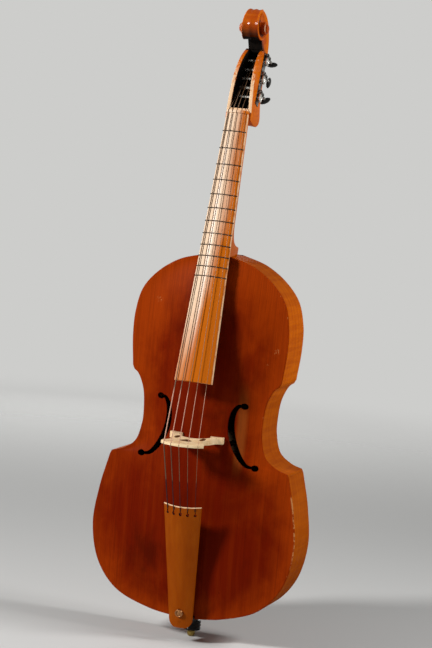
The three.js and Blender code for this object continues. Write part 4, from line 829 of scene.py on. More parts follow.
def rib_pieces():
    """The ribs: a wall that follows its stretch of the outline, with a lining along its front and back edges."""
    lower, waist, upper = outline_parts(3)

    def between(first, second):
        """Where a rib ends: just short of halfway to the start of the next."""
        return blend(first, second, 0.5 - GLUE / CORNER_END)

    lower[0, 0] = upper[-1, 0] = GLUE
    paths = {
        "lower": np.vstack([[GLUE, BOTTOM], lower[1:], between(lower[-1], waist[0])]),
        "waist": np.vstack([between(waist[0], lower[-1]), waist, between(waist[-1], upper[0])]),
        "upper": np.vstack([between(upper[0], waist[-1]), upper]),
    }
    pieces = {}
    for place, path in paths.items():
        left = inward(path, False)
        run = run_of(path)
        inside = clamp((np.minimum(run, run[-1] - run) - LINING_START) / 2)
        lining = RIB + LINING_WIDTH * inside
        back = back_y(path[:, 1]) - PLATE - GLUE
        front = FRONT + EDGE + GLUE / 4
        columns = []
        for inset, depth in ((0, front), (0, back), (lining, back), (lining, back - LINING_HEIGHT),
                             (RIB, back - LINING_HEIGHT - 1), (RIB, front + LINING_HEIGHT + 1),
                             (lining, front + LINING_HEIGHT), (lining, front)):
            spot = path + left * np.broadcast_to(inset, len(path))[:, None]
            columns.append(spread(np.maximum(spot[:, 0], GLUE), depth, spot[:, 1]))
        grid = np.stack(columns, axis=1)
        for name, side in (("treble", 1), ("bass", -1)):
            piece = solid(grid * (side, 1, 1), name=f"rib_wall_{place}_{name}")
            if place == "lower":
                ends = [(0, MIDDLE, BOTTOM + step) for step in (-TOOL_REACH, TOOL_REACH)]
                worked(piece, [rod(*ends, STEM_DIAMETER + BORE_ROOM, sides=48)])
            pieces[f"rib_{place}_{name}"] = (piece, path, run)
    return pieces


def run_marks(piece, path, run):
    """Stores for each vertex how far along its stretch of the outline it lies, in metres."""
    corners = corners_of(piece)
    far = np.hypot(np.abs(corners[:, [0]]) - path[None, :, 0], corners[:, [2]] - path[None, :, 1])
    return marked(piece, "run", run[far.argmin(1)] * METRE)


# Neck, board, nut and frets


def board_width(down):
    """The board's width so far down from the nut: a straight taper."""
    return blend(NUT_WIDTH, BOARD_END_WIDTH, down / BOARD_LENGTH)


def board_top(across, down):
    """The board's playing face: an arc of one radius whose edges keep one height over the glued face."""
    return -(BOARD_EDGE + sag(BOARD_RADIUS, board_width(down)) - sag(BOARD_RADIUS, 2 * np.abs(across)))


def neck_grid():
    """The shaft and heel: D shapes whose depth drops in a quarter circle from the heel's block, narrower at its cap."""
    share = np.concatenate([np.linspace(0, 0.08, 6), np.linspace(0.086, 0.26, 60), np.linspace(0.28, 1, 18)])
    z = TOP + GLUE + share * (HEAD_Z + NUT_LENGTH - TOP - GLUE)
    down = (NUT_Z - z) / math.cos(NECK_TURN)
    half = board_width(np.maximum(down, 0)) / 2
    shaft = blend(NECK_DEPTH, NECK_DEPTH_AT_HEEL, (NUT_Z - z) / (NUT_Z - TOP))
    into = clamp(1 - (z - TOP - GLUE - HEEL_BLOCK) / (HEEL_LENGTH - HEEL_BLOCK))
    whole = TOP_DEPTH + BOARD_RISE - BOARD_EDGE
    depth = shaft + (whole - shaft) * (1 - np.sqrt(1 - into**2))
    narrow = blend(1, HEEL_CAP / (2 * half), into**3)
    turn = np.linspace(0, np.pi, 41)
    drop, swing = np.sin(turn)[None], np.cos(turn)[None]
    width = half[:, None] * np.sign(swing) * np.abs(swing) ** blend(1, 0.6, into)[:, None]
    across = -width * blend(1, narrow[:, None], drop)
    back = glue_face_y(z)[:, None] + depth[:, None] * drop
    return spread(across, back, z[:, None])


def fluted_back(half, outer, flute):
    """Across a carved back: two hollows beside a middle ridge, then a bevel down to each side."""
    share = np.linspace(-1, 1, 33)[None]
    half, outer, flute = (np.asarray(value, float)[:, None] for value in (half, outer, flute))
    across = share * (half - BEVEL)
    depth = outer - flute * np.sin(np.pi * np.abs(share)) ** 1.2
    bevel_across = np.concatenate([half - BEVEL * 0.12, half], axis=1)
    bevel_depth = np.concatenate([outer - BEVEL * 1.3, outer - BEVEL * 2], axis=1)
    across = np.concatenate([-bevel_across[:, ::-1], across, bevel_across], axis=1)
    depth = np.concatenate([bevel_depth[:, ::-1], depth, bevel_depth], axis=1)
    return across, depth


def pegbox_half(up):
    """Half the pegbox's width so far up: a straight taper."""
    return blend(PEGBOX_WIDTH, PEGBOX_TOP_WIDTH, up / PEGBOX_LENGTH) / 2


def volute_radius(turn):
    """An even spiral that opens out below its join to meet the throat of the pegbox."""
    def spiral(place):
        """A radius that shrinks by one share for each step of the turn."""
        return VOLUTE_RADIUS * np.exp(-VOLUTE_DECAY * (place - VOLUTE_JOIN))

    throat = (VOLUTE_FORWARD + THROAT_DEPTH) / math.cos(VOLUTE_START)
    early = np.maximum((VOLUTE_JOIN - turn) / (VOLUTE_JOIN - VOLUTE_START), 0)
    return spiral(turn) + (throat - spiral(VOLUTE_START)) * early**1.6


def volute_half(turn):
    """Half the scroll's width: narrow at the top of the first turn, and wider and wider towards the eye."""
    early = clamp((turn - VOLUTE_START) / (math.pi / 2 - VOLUTE_START))
    late = clamp((turn - math.pi / 2) / (VOLUTE_END - math.pi / 2))
    return blend(blend(PEGBOX_TOP_WIDTH, VOLUTE_NARROW, early), SCROLL_WIDTH * 0.9, late**0.62) / 2


def volute_grids(hollow):
    """The scroll in four arcs: a fluted back, and sides that sink in a hollow down to the next turn's edge."""
    grids = []
    for part in range(4):
        span = (VOLUTE_END - VOLUTE_START) / 4
        turn = VOLUTE_START + span * (part + np.linspace(0, 1, 61))
        radius, half = volute_radius(turn), volute_half(turn)
        flute = FLUTE * np.minimum(1, radius / VOLUTE_RADIUS) * 0.72
        across, depth = fluted_back(half, radius, flute)
        inner = np.maximum(volute_radius(turn + 2 * math.pi), EYE_DIAMETER * 0.5) * 0.96
        inner = np.minimum(inner, radius - 2 * BEVEL - VOLUTE_ROOM)
        share = np.linspace(0, 1, 11)[None, 1:]
        side_radius = blend((radius - 2 * BEVEL)[:, None], inner[:, None], share)
        sink = hollow * (radius / VOLUTE_RADIUS)[:, None] ** 0.6 * np.sin(np.pi * np.minimum(share * 0.86, 1)) ** 0.8
        side_half = half[:, None] - sink
        core_radius = np.full((len(turn), 1), EYE_DIAMETER / 8)
        x = np.concatenate([across, side_half, side_half[:, -1:], -side_half[:, -1:], -side_half[:, ::-1]], axis=1)
        r = np.concatenate([depth, side_radius, core_radius, core_radius, side_radius[:, ::-1]], axis=1)
        y = -VOLUTE_FORWARD + r * np.cos(turn)[:, None]
        z = VOLUTE_UP + r * np.sin(turn)[:, None]
        grids.append(spread(x, y, z))
    return grids


def pegbox_grid():
    """The pegbox in U shapes: fluted back, straight sides, walls with rounded front edges and a floor between them."""
    foot, last = PEGBOX_WALL / 2, PEGBOX_LENGTH - PEGBOX_WALL
    chin = np.concatenate([np.linspace(-0.1, -0.055, 8), np.linspace(-0.05, foot / PEGBOX_LENGTH, 8)]) * PEGBOX_LENGTH
    up = np.concatenate([chin, np.linspace(foot + 0.01, last - 0.01, 90), np.linspace(last, 0.96 * PEGBOX_LENGTH, 3)])
    back, front = (along(PEGBOX_SHARES, up / PEGBOX_LENGTH, column) * CHIN_DEPTH for column in (1, 2))
    half = pegbox_half(np.maximum(up, 0))
    open_part = (up > foot) & (up < last)
    step = clamp((up - foot) / (last - foot))
    floor = np.maximum(back - PEGBOX_FLOOR - CHIN_DEPTH / 4 * (1 - step) ** 4, PEGBOX_FLOOR * 2)
    floor = np.where(open_part, floor, front)
    across, depth = fluted_back(half, back, np.full(len(up), FLUTE))
    turn = np.linspace(0, np.pi / 2, 5)[None]
    half, front, floor = half[:, None], front[:, None], floor[:, None]
    wall = half - PEGBOX_WALL
    soft = WALL_ROUNDING * open_part[:, None]
    right_x = [half - WALL_ROUNDING * (1 - np.cos(turn)), wall + soft * (1 - np.cos(turn[:, ::-1])), wall]
    right_y = [front + WALL_ROUNDING * (1 - np.sin(turn)), front + soft * (1 - np.sin(turn[:, ::-1])), floor]
    right_x, right_y = np.concatenate(right_x, axis=1), np.concatenate(right_y, axis=1)
    x = np.concatenate([across, right_x, -right_x[:, ::-1]], axis=1)
    y = np.concatenate([depth, right_y, right_y[:, ::-1]], axis=1)
    return spread(x, y, up[:, None])


def machine_side(index):
    """The side of a machine: the treble side for the even ones, and the bass side for the odd ones."""
    return -1 if index % 2 else 1


def roller_up(index):
    """How far up the pegbox a roller lies."""
    return ROLLER_FIRST + index * ROLLER_PITCH


def throat_grid():
    """The throat: a wedge whose front leans forward from the top of the pegbox to the underside of the scroll."""
    line = softened(THROAT_LINE, THROAT_ROUNDING)[:-1]
    share = np.linspace(-1, 1, 13)[:, None]
    pull = 1 - 0.05 * share**4
    deep, up = (middle + (line[:, column] - middle) * pull for column, middle in enumerate(THROAT_MIDDLE))
    return spread(share * (PEGBOX_TOP_WIDTH / 2 - THROAT_INSET), deep, up)


def neck_piece(hollow):
    """Neck, pegbox and scroll as one skin: the arcs joined, the board's seat and the bores of the rollers cut away."""
    neck = solid(neck_grid(), name="neck_and_scroll")
    parts = [solid(grid, HEAD_FRAME) for grid in (pegbox_grid(), throat_grid(), *volute_grids(hollow))]
    reach = SCROLL_WIDTH / 2
    for wide, radius in ((reach, EYE_DIAMETER / 2), (reach * 0.9, EYE_DIAMETER * 1.35 / 2)):
        profile = softened([(0, -wide), (radius * 0.55, -wide), (radius, -wide + EYE_BEVEL), (radius, wide - EYE_BEVEL),
                            (radius * 0.55, wide), (0, wide)], EYE_ROUNDING)
        profile[[0, -1], 0] = AXIS
        parts.append(solid(turned_grid(profile, 48)[..., ALONG_X] + (0, -VOLUTE_FORWARD, VOLUTE_UP), HEAD_FRAME))
    worked(neck, parts, "UNION")
    tools = []
    for index in range(STRING_COUNT):
        side, up = machine_side(index), roller_up(index)
        far = pegbox_half(up) - PEGBOX_WALL + ROLLER_SEAT + CLEARANCE
        ends = [(side * x, ROLLER_DEPTH, up) for x in (-far, PEGBOX_WIDTH)]
        tools.append(rod(*ends, ROLLER_DIAMETER + BORE_ROOM, HEAD_FRAME))
    x, y, low, high = BOARD_END_WIDTH, BODY_DEPTH, -BOARD_LENGTH, NUT_LENGTH + GLUE
    block = np.array([[(-x, -y, z), (x, -y, z), (x, 0, z), (-x, 0, z)] for z in (low, high)], float)
    tools.append(solid(block, BOARD_FRAME))
    return worked(neck, tools)


def fret_down(number):
    """How far down the board a fret lies: each shortens the string by one share, and twelve by half."""
    return (1 - 2 ** (-number / 12)) * STRING_RUN / math.cos(NECK_TURN)


def fret_grid(down, rise, seat, width, overhang, rounded):
    """A band bent to the board's radius, from its seat in the wood to its crown, with a round top if asked."""
    centre = -(BOARD_EDGE + sag(BOARD_RADIUS, board_width(down))) + BOARD_RADIUS
    half = board_width(down) / 2 + overhang
    bend = np.linspace(-1, 1, 33) * math.asin(half / BOARD_RADIUS)
    share = np.linspace(0, np.pi, 11 if rounded else 2)
    crown = rise * np.sin(share) ** 0.7 if rounded else np.full(2, rise)
    level = np.concatenate([[-seat], crown, [-seat]])
    reach = np.concatenate([[-width / 2], -width / 2 * np.cos(share), [width / 2]])
    radius = BOARD_RADIUS + level[None]
    return spread(radius * np.sin(bend)[:, None], centre - radius * np.cos(bend)[:, None], reach[None] - down)


def board_piece():
    """The fingerboard: arched sections with softened edges, hollowed behind its free end and slotted for its frets."""
    down = np.linspace(0, BOARD_LENGTH, 70)
    half = board_width(down)[:, None] / 2
    share = np.sin(np.linspace(-np.pi / 2, np.pi / 2, 49))[None]
    across = share * (half - BOARD_CROWN_INSET)
    top = board_top(across, down[:, None])
    edge, seat = -BOARD_EDGE + 0 * half, 0 * half - GLUE
    (_, low), (inset, high) = BOARD_SOFT_EDGE
    x = np.concatenate([-half, -half, -half + inset, across, half - inset, half, half], axis=1)
    y = np.concatenate([seat, edge + low, edge + high, top, edge + high, edge + low, seat], axis=1)
    board = solid(spread(x, y, -down[:, None]), BOARD_FRAME, "board")
    neck_run = (NUT_Z - TOP) / math.cos(NECK_TURN)
    hollow_down = np.linspace(neck_run + BOARD_EDGE, BOARD_LENGTH + BOARD_EDGE, 12)
    hollow_half = board_width(hollow_down)[:, None] / 2 - BOARD_EDGE
    share = np.linspace(-1, 1, 17)[None]
    x = np.concatenate([share * hollow_half, hollow_half, -hollow_half], axis=1)
    y = np.append(-BOARD_HOLLOW * (1 - share**2), (BOARD_EDGE, BOARD_EDGE))
    tools = [solid(spread(x, y, -hollow_down[:, None]), BOARD_FRAME)]
    for number in range(1, FRET_COUNT + 1):
        slot = fret_grid(fret_down(number), BOARD_EDGE, FRET_SEAT + FRET_CLEARANCE, FRET_WIDTH + 2 * FRET_CLEARANCE,
                         FRET_OVERHANG, False)
        tools.append(solid(slot, BOARD_FRAME))
    return worked(board, tools)


def across_at(index, spread):
    """How far across a string lies where all five take up a spread."""
    return (index / (STRING_COUNT - 1) - 0.5) * spread


def nut_piece():
    """The nut: the board's own arch raised by its rise, with a round groove under each string."""
    half = NUT_WIDTH / 2
    x = np.linspace(-half, half, 260)
    top = board_top(x, 0) - NUT_RISE - STRING_DIAMETERS[0] / 2
    for index, diameter in enumerate(STRING_DIAMETERS):
        place, radius = across_at(index, NUT_SPREAD), diameter / 2 + CLEARANCE * 0.5
        centre = board_top(place, 0) - NUT_RISE - diameter / 2
        reach = radius**2 - (x - place) ** 2
        top = np.where(reach > 0, np.maximum(top, centre + np.sqrt(np.maximum(reach, 0))), top)
    places = [(GLUE + inset, drop) for inset, drop in NUT_BOARD_END]
    places += [(NUT_LENGTH - inset, drop) for inset, drop in NUT_HEAD_END]
    rows = []
    for z, drop in places:
        rows.append(np.vstack([spread(x, top + drop, z), [[half, -GLUE, z], [-half, -GLUE, z]]]))
    return solid(np.array(rows), BOARD_FRAME, "nut_block")


# Strings


def string_route(index):
    """A string from its ball over the bridge and the nut to its turns on the roller: points and radii."""
    radius = STRING_DIAMETERS[index] / 2
    x = across_at(index, TAIL_SPREAD)
    steep = math.hypot(1, 2 * TAIL_ARCH * x / tail_half(0) ** 2)
    over = tail_top(x, 0) - (radius + CLEARANCE) * steep
    under = tail_top(x, SLOT_EDGE) + TAIL_PLATE + (BALL_RADIUS + 2 * CLEARANCE) * steep
    dive = SLOT_EDGE + SLOT_LENGTH / 2
    turn = np.linspace(0.12, np.pi - 0.25, 12)
    ball = spread(dive, under + BALL_RADIUS * np.cos(turn), np.maximum(BALL_RADIUS * np.sin(turn), radius))
    bend = softened([(dive, under - BALL_RADIUS), (dive - radius / 2, blend(under, over, 0.7)),
                     (SLOT_EDGE + radius, over), (0, over)], STRING_BEND, 6)
    down, deep, radii = np.vstack([ball, spread(bend[:, 0], bend[:, 1], radius)]).T
    tail = moved(spread(x, deep, -down), TAIL_FRAME)
    place = across_at(index, BRIDGE_SPREAD)
    crown = np.array([place, crown_y(place), BRIDGE_Z])
    place = across_at(index, NUT_SPREAD)
    nut = moved(np.array([[place, board_top(place, 0) - NUT_RISE - radius, NUT_LENGTH / 2]]), BOARD_FRAME)[0]
    start = moved(nut[None], HEAD_FRAME.inverted())[0]
    up = roller_up(ROLLER_OF_STRING[index])
    wind_x = WIND_PLACE_SHARES[index] * (pegbox_half(up) - PEGBOX_WALL)
    reach = ROLLER_DIAMETER / 2 + CLEARANCE + radius
    away, deep = start[2] - up, start[1] - ROLLER_DEPTH
    tangent = math.atan2(away, deep) - math.acos(reach / math.hypot(away, deep))
    turn = np.linspace(0, 2 * np.pi * WIND_TURNS, int(WIND_TURNS * 36) + 1)
    step = (STRING_DIAMETERS[index] + WIND_GAP) * (-1 if wind_x > 0 else 1)
    wound = spread(wind_x + step * turn / (2 * np.pi), ROLLER_DEPTH + reach * np.cos(tangent - turn),
                   up + reach * np.sin(tangent - turn))
    wound = moved(wound, HEAD_FRAME)
    near_crown = [crown + (tail[-1] - crown) * share for share in (0.5, 0.03)] + [crown]
    near_nut = [blend(crown, nut, share) for share in (0.01, 0.25, 0.5, 0.75, 0.995)] + [nut]
    into = [blend(nut, wound[0], share) for share in (0.03, 0.5)]
    points = np.vstack([tail, near_crown, near_nut, into, wound])
    return points, np.concatenate([radii, np.full(len(points) - len(radii), radius)])


def string_piece(index):
    """One string as a tube round its route; it also keeps how far along each ring lies."""
    points, radii = string_route(index)
    grid = tube_grid(points, radii, 14)
    piece = solid(grid, name=f"string_line_{index + 1}")
    run = run_of(points)
    corners = corners_of(piece)
    values = np.zeros(len(corners))
    for start in range(0, len(corners), 2000):
        some = corners[start:start + 2000]
        values[start:start + 2000] = run[np.linalg.norm(some[:, None] - points[None], axis=2).argmin(1)]
    return marked(piece, "run", values * METRE)


# Bridge


def crown_y(x):
    """The crown of the bridge across it: an arc."""
    return FRONT - BRIDGE_TOP + sag(CROWN_RADIUS, 2 * np.abs(x))


def bridge_windows():
    """Each window's middle, its width in millimetres and how tall it is for its width."""
    return [(x * CROWN_WIDTH / 2, blend(FRONT - ARCH, FRONT - BRIDGE_TOP, up), wide * CROWN_WIDTH / 2, tall)
            for x, up, wide, tall in BRIDGE_WINDOWS]


def bridge_piece():
    """The bridge: its outline thick at the feet and thin at the crown, windows bored through, feet on the belly."""
    ankle, foot = FRONT - ARCH - FOOT_HEIGHT, FRONT - ARCH / 2
    outer, inner = BRIDGE_SPAN / 2, BRIDGE_SPAN / 2 - BRIDGE_FOOT
    shoulder = crown_y(CROWN_WIDTH / 2)
    toe = blend(ankle, foot, 0.2)

    def placed(shares):
        """Points across and up, from a table of shares."""
        x, up = np.asarray(shares).T
        return spread(x * outer, blend(ankle, shoulder, up))

    turn = np.linspace(-1, 1, 61) * math.asin(CROWN_WIDTH / 2 / CROWN_RADIUS)
    crown = spread(CROWN_RADIUS * np.sin(turn), crown_y(CROWN_RADIUS * np.sin(turn)))
    edge = through(np.vstack([[CROWN_WIDTH / 2, shoulder], placed(BRIDGE_EDGE_SHARES)]), 60)[2:]
    sole = softened([edge[-1], (outer, toe), (outer, foot), (inner, foot), (inner, toe),
                     placed(BRIDGE_ARCH_SHARES)[0]], SOLE_ROUNDING)[1:-1]
    arch = through(placed([*BRIDGE_ARCH_SHARES, *[(-x, up) for x, up in BRIDGE_ARCH_SHARES[-2::-1]]]), 81)
    right = np.vstack([edge, sole, arch[:41]])
    line = np.vstack([crown, right, (right[:-1] * (-1, 1))[::-1]])
    thin = CROWN_THICKNESS / 2
    depth = clamp((line[:, 1] - (FRONT - BRIDGE_TOP + CROWN_THICKNESS)) / (BRIDGE_TOP - ARCH - CROWN_THICKNESS))
    thick = blend(thin, BRIDGE_THICKNESS - thin, depth)
    rows = [spread(line[:, 0], line[:, 1], BRIDGE_Z + z) for z in (-thin, thick)]
    bridge = solid(np.array(rows), name="bridge_carved")
    tools = []
    for place, y, diameter, tall in bridge_windows():
        window = rod_grid((place, y, BRIDGE_Z - TOOL_REACH), (place, y, BRIDGE_Z + TOOL_REACH), diameter, 48)
        window[..., 1] = y + (window[..., 1] - y) * tall
        tools.append(solid(window))
    across = np.linspace(-BRIDGE_SPAN * 0.6, BRIDGE_SPAN * 0.6, 49)
    up = BRIDGE_Z + np.linspace(-BRIDGE_THICKNESS + 1, 2 * BRIDGE_THICKNESS - 4, 13)
    spots = spread(*np.meshgrid(across, up))
    level = FRONT - belly_height(spots.reshape(-1, 2)).reshape(spots.shape[:2]) - GLUE
    face = spread(spots[..., 0], level, spots[..., 1])
    deep = face * (1, 0, 1) + (0, FRONT + TOOL_REACH / 2, 0)
    tools.append(solid(np.concatenate([face, deep[:, ::-1]], axis=1)))
    for index, diameter in enumerate(STRING_DIAMETERS):
        points, _ = string_route(index)
        place = np.array([across_at(index, BRIDGE_SPREAD), crown_y(across_at(index, BRIDGE_SPREAD)), BRIDGE_Z])
        at = int(np.linalg.norm(points - place, axis=1).argmin())
        near = [place + (points[at - 2] - place) * 0.2, place, place + (points[at + 2] - place) * 0.1]
        tools.append(solid(tube_grid(near, diameter / 2 + GROOVE_ROOM, 20)))
    return worked(bridge, tools)


# Tailpiece, its knob and cord, saddle


def tail_arch(down):
    """How high the tailpiece's arch stands so far down: a straight taper."""
    return blend(TAIL_ARCH, TAIL_END_ARCH, down / TAIL_LENGTH)


def tail_half(down):
    """Half the tailpiece's width so far down: a straight taper."""
    return blend(TAIL_WIDTH, TAIL_END_WIDTH, down / TAIL_LENGTH) / 2


def tail_top(x, down):
    """The upper face of the tailpiece: a parabola across it."""
    return -tail_arch(down) * (1 - (x / tail_half(down)) ** 2)


def tail_piece():
    """The tailpiece: an arched plate with softened edges and a round end, its slots, keyholes and knob's hole cut."""
    near_end = TAIL_LENGTH - TAIL_ROUNDING * np.cos(np.linspace(np.pi / 2, 0.02, 26))
    soft = np.array(TAIL_SOFT_END)
    down = np.concatenate([soft[:, 0], np.linspace(2, TAIL_LENGTH - TAIL_ROUNDING, 50), near_end[1:]])
    push = np.zeros(len(down))
    push[:len(soft)] = soft[:, 1]
    past = clamp((down - (TAIL_LENGTH - TAIL_ROUNDING)) / TAIL_ROUNDING)
    half = tail_half(down) * blend(1, 0.3, 1 - np.sqrt(1 - past**2))
    share = np.sin(np.linspace(-np.pi / 2, np.pi / 2, 41))[None]
    half, down, push = half[:, None], down[:, None], push[:, None]
    edge = TAIL_SOFT_SIDE * clamp((np.abs(share) - 0.965) / 0.035) ** 2
    top = tail_top(share * half, down) + push + edge
    under = tail_top(share * half, down) + TAIL_PLATE - push
    x = np.concatenate([share * half, (share * half)[:, ::-1]], axis=1)
    y = np.concatenate([top, under[:, ::-1]], axis=1)
    tail = solid(spread(x, y, -down), TAIL_FRAME, "tail_plate")
    tools = []
    far = SLOT_EDGE + SLOT_LENGTH
    for index, diameter in enumerate(STRING_DIAMETERS):
        x = across_at(index, TAIL_SPREAD)
        levels = tail_top(x, 0) - TAIL_ARCH, TAIL_ARCH
        half = diameter / 2 + CLEARANCE
        corners = ((x - half, -far), (x + half, -far), (x + half, -SLOT_EDGE), (x - half, -SLOT_EDGE))
        slot = [[(across, level, up) for across, up in corners] for level in levels]
        tools.append(solid(np.array(slot, float), TAIL_FRAME))
        tools.append(rod(*[(x, level, -far) for level in levels], KEYHOLE_DIAMETER, TAIL_FRAME, 28))
    top = tail_top(0, KNOB_DOWN)
    ends = [(0, level, -KNOB_DOWN) for level in (top - KNOB_HEIGHT, top + 3 * TAIL_PLATE)]
    tools.append(rod(*ends, KNOB_STEM + BORE_ROOM, TAIL_FRAME))
    return worked(tail, tools)


def in_keyholes(place):
    """Which places in the tailpiece's own frame lie in a slot or a keyhole, or on its walls, for a dark finish as
    painted shade.
    """
    across, down = place[:, 0], -place[:, 2]
    far = SLOT_EDGE + SLOT_LENGTH
    inside = np.zeros(len(place), bool)
    for index, diameter in enumerate(STRING_DIAMETERS):
        off = np.abs(across - across_at(index, TAIL_SPREAD))
        inside |= (off < diameter / 2 + CLEARANCE + WALL_REACH) & (down > SLOT_EDGE - WALL_REACH) & (down < far)
        inside |= np.hypot(off, down - far) < KEYHOLE_DIAMETER / 2 + WALL_REACH
    return inside


def knob_piece():
    """The cord's metal knob: a domed disc with a raised rim, a stem and a foot, turned about the tailpiece's depth."""
    reach = TAIL_PLATE + CORD_DIAMETER + 4 * GLUE
    radius, stem, high = KNOB_DIAMETER / 2, KNOB_STEM / 2, KNOB_HEIGHT
    profile = softened([(AXIS, -high * 0.86), (radius * 0.5, -high * 0.8), (radius * 0.62, -high * 0.62),
                        (radius * 0.72, -high), (radius * 0.9, -high * 0.95), (radius, -high * 0.5), (radius, -GLUE),
                        (stem, -GLUE), (stem, reach), (stem * 1.6, reach), (stem * 1.6, reach + KNOB_FOOT),
                        (AXIS, reach + KNOB_FOOT)], KNOB_ROUNDING)
    grid = turned_grid(profile, 64)[..., ALONG_Y] + (0, tail_top(0, KNOB_DOWN), -KNOB_DOWN)
    return solid(grid, TAIL_FRAME, "knob_turned")


CORD_GAP = CORD_DIAMETER / 2 + 2 * GLUE
CORD_BEND = COLLAR_NECK_DIAMETER / 2 + CORD_GAP
CORD_LEVEL = BOTTOM - GLUE - COLLAR_NECK / 2


def cord_piece():
    """The tail cord: a closed loop round the knob's stem, over the saddle and round the collar's neck."""
    loop = KNOB_STEM / 2 + CORD_GAP
    under = tail_top(0, KNOB_DOWN) + TAIL_PLATE + CORD_GAP
    turn = np.radians([90, 72, 54, 36, 18, 0])
    knob = moved(spread(loop * np.cos(turn), under, -KNOB_DOWN + loop * np.sin(turn)), TAIL_FRAME)
    top = FRONT - SADDLE_RISE - CORD_GAP
    wide = blend(loop, CORD_BEND, 0.75)
    over = np.array([(wide, top, BOTTOM + SADDLE_LENGTH / 2), (wide, top + CORD_DIAMETER / 3, BOTTOM - GLUE * 3),
                     (wide, top + CORD_DIAMETER * 1.2, CORD_LEVEL + CORD_DIAMETER / 3),
                     (wide, FRONT - CORD_DIAMETER, CORD_LEVEL), (CORD_BEND, MIDDLE, CORD_LEVEL)])
    turn = np.radians([30, 60, 90])
    collar = spread(CORD_BEND * np.cos(turn), MIDDLE + CORD_BEND * np.sin(turn), CORD_LEVEL)
    right = through(np.vstack([knob, over, collar]), 150)
    line = np.vstack([right, (right[1:-1] * (-1, 1, 1))[::-1]])
    ahead = np.roll(line, -1, 0) - np.roll(line, 1, 0)
    ahead /= np.linalg.norm(ahead, axis=1)[:, None]
    radial = np.cross(np.array([0, 1, 0.6]), ahead)
    radial /= np.linalg.norm(radial, axis=1)[:, None]
    up = np.cross(ahead, radial)
    turn = circle(16)[None, :, None]
    grid = line[:, None] + CORD_DIAMETER / 2 * (radial[:, None] * np.cos(turn) + up[:, None] * np.sin(turn))
    return solid(grid, name="tail_loop", ring=True)


def saddle_piece():
    """The saddle: a tall bar with a round top that drops towards its ends, fitted to the belly."""
    low, high = BOTTOM + GLUE, BOTTOM + SADDLE_LENGTH
    share = np.linspace(-1, 1, 41)[:, None]
    rise = SADDLE_RISE * blend(1, 0.6, clamp((np.abs(share) - 0.8) / 0.2) ** 2)
    profile = softened([(0, low), (0.8, low), (1, low + SADDLE_EDGE), (1, high - SADDLE_EDGE), (0.8, high),
                        (0, high)], SADDLE_EDGE)
    return solid(spread(share * SADDLE_WIDTH / 2, FRONT - GLUE - (rise - GLUE) * profile[:, 0], profile[:, 1]),
                 name="saddle_bar")


# End collar, pin and clamp screw


def screw_level():
    """The height of the clamp screw's axis."""
    return BOTTOM - COLLAR_HEIGHT + SCREW_HEIGHT


def collar_piece():
    """The end collar: a turned stem, neck and flange with round ribs, bored for the pin and the screw."""
    bore, stem = PIN_DIAMETER / 2 + CLEARANCE, STEM_DIAMETER / 2
    neck, radius = COLLAR_NECK_DIAMETER / 2, COLLAR_DIAMETER / 2
    shoulder = BOTTOM - GLUE
    flange, foot = shoulder - COLLAR_NECK, BOTTOM - COLLAR_HEIGHT
    share = np.linspace(0, 1, 40)
    groove = COLLAR_GROOVE * (0.5 + 0.5 * np.cos(2 * np.pi * share * COLLAR_RIBS)) ** 2
    ribs = spread(radius - groove, blend(flange, foot, share))
    inner = BOTTOM + STEM_LENGTH
    upper = [(bore, inner), (stem, inner), (stem, shoulder), (neck, shoulder), (neck, flange), ribs[0]]
    upper = softened(upper, COLLAR_ROUNDING)
    lower = softened([ribs[-1], (radius - COLLAR_FOOT_INSET, foot), (bore, foot)], COLLAR_FOOT_ROUNDING)
    grid = turned_grid(np.vstack([upper, ribs[1:], lower[1:]]), 96) + (0, MIDDLE, 0)
    collar = solid(grid.transpose(1, 0, 2), name="end_collar_turned", ring=True)
    ends = [(0, MIDDLE + out, screw_level()) for out in (PIN_DIAMETER / 4, radius + SCREW_NECK)]
    return worked(collar, [rod(*ends, SCREW_DIAMETER + BORE_ROOM)])


def screw_piece():
    """The clamp screw: a threaded shank and a knurled head whose radius ripples round it."""
    z = screw_level()
    tip, neck = PIN_DIAMETER / 2 + CLEARANCE, COLLAR_DIAMETER / 2 + SCREW_NECK
    deep = np.linspace(tip, neck + SHANK_OVERLAP, 160)[:, None]
    turn = circle(32)[None]
    thread = SCREW_DIAMETER / 2 - SCREW_THREAD * (0.5 + 0.5 * np.cos(2 * np.pi * deep / SCREW_PITCH - turn))
    shank = spread(thread * np.cos(turn), MIDDLE + deep, z + thread * np.sin(turn))
    turn = circle(216)[None]
    wide, end = SCREW_HEAD_DIAMETER / 2, neck + SCREW_HEAD_THICKNESS
    profile = softened([(AXIS, neck), (wide, neck), (wide, end), (wide * 0.6, end),
                        (AXIS, neck + SCREW_HEAD_THICKNESS * 0.8)], SCREW_ROUNDING)
    radius = profile[:, :1]
    knurl = KNURL_DEPTH * (0.5 + 0.5 * np.cos(KNURL_COUNT * turn))
    ripple = radius - knurl * clamp((radius / SCREW_HEAD_DIAMETER * 2 - 0.85) / 0.15)
    head = spread(ripple * np.cos(turn), MIDDLE + profile[:, 1:], z + ripple * np.sin(turn))
    return worked(solid(shank, name="clamp_screw"), [solid(head)], "UNION")


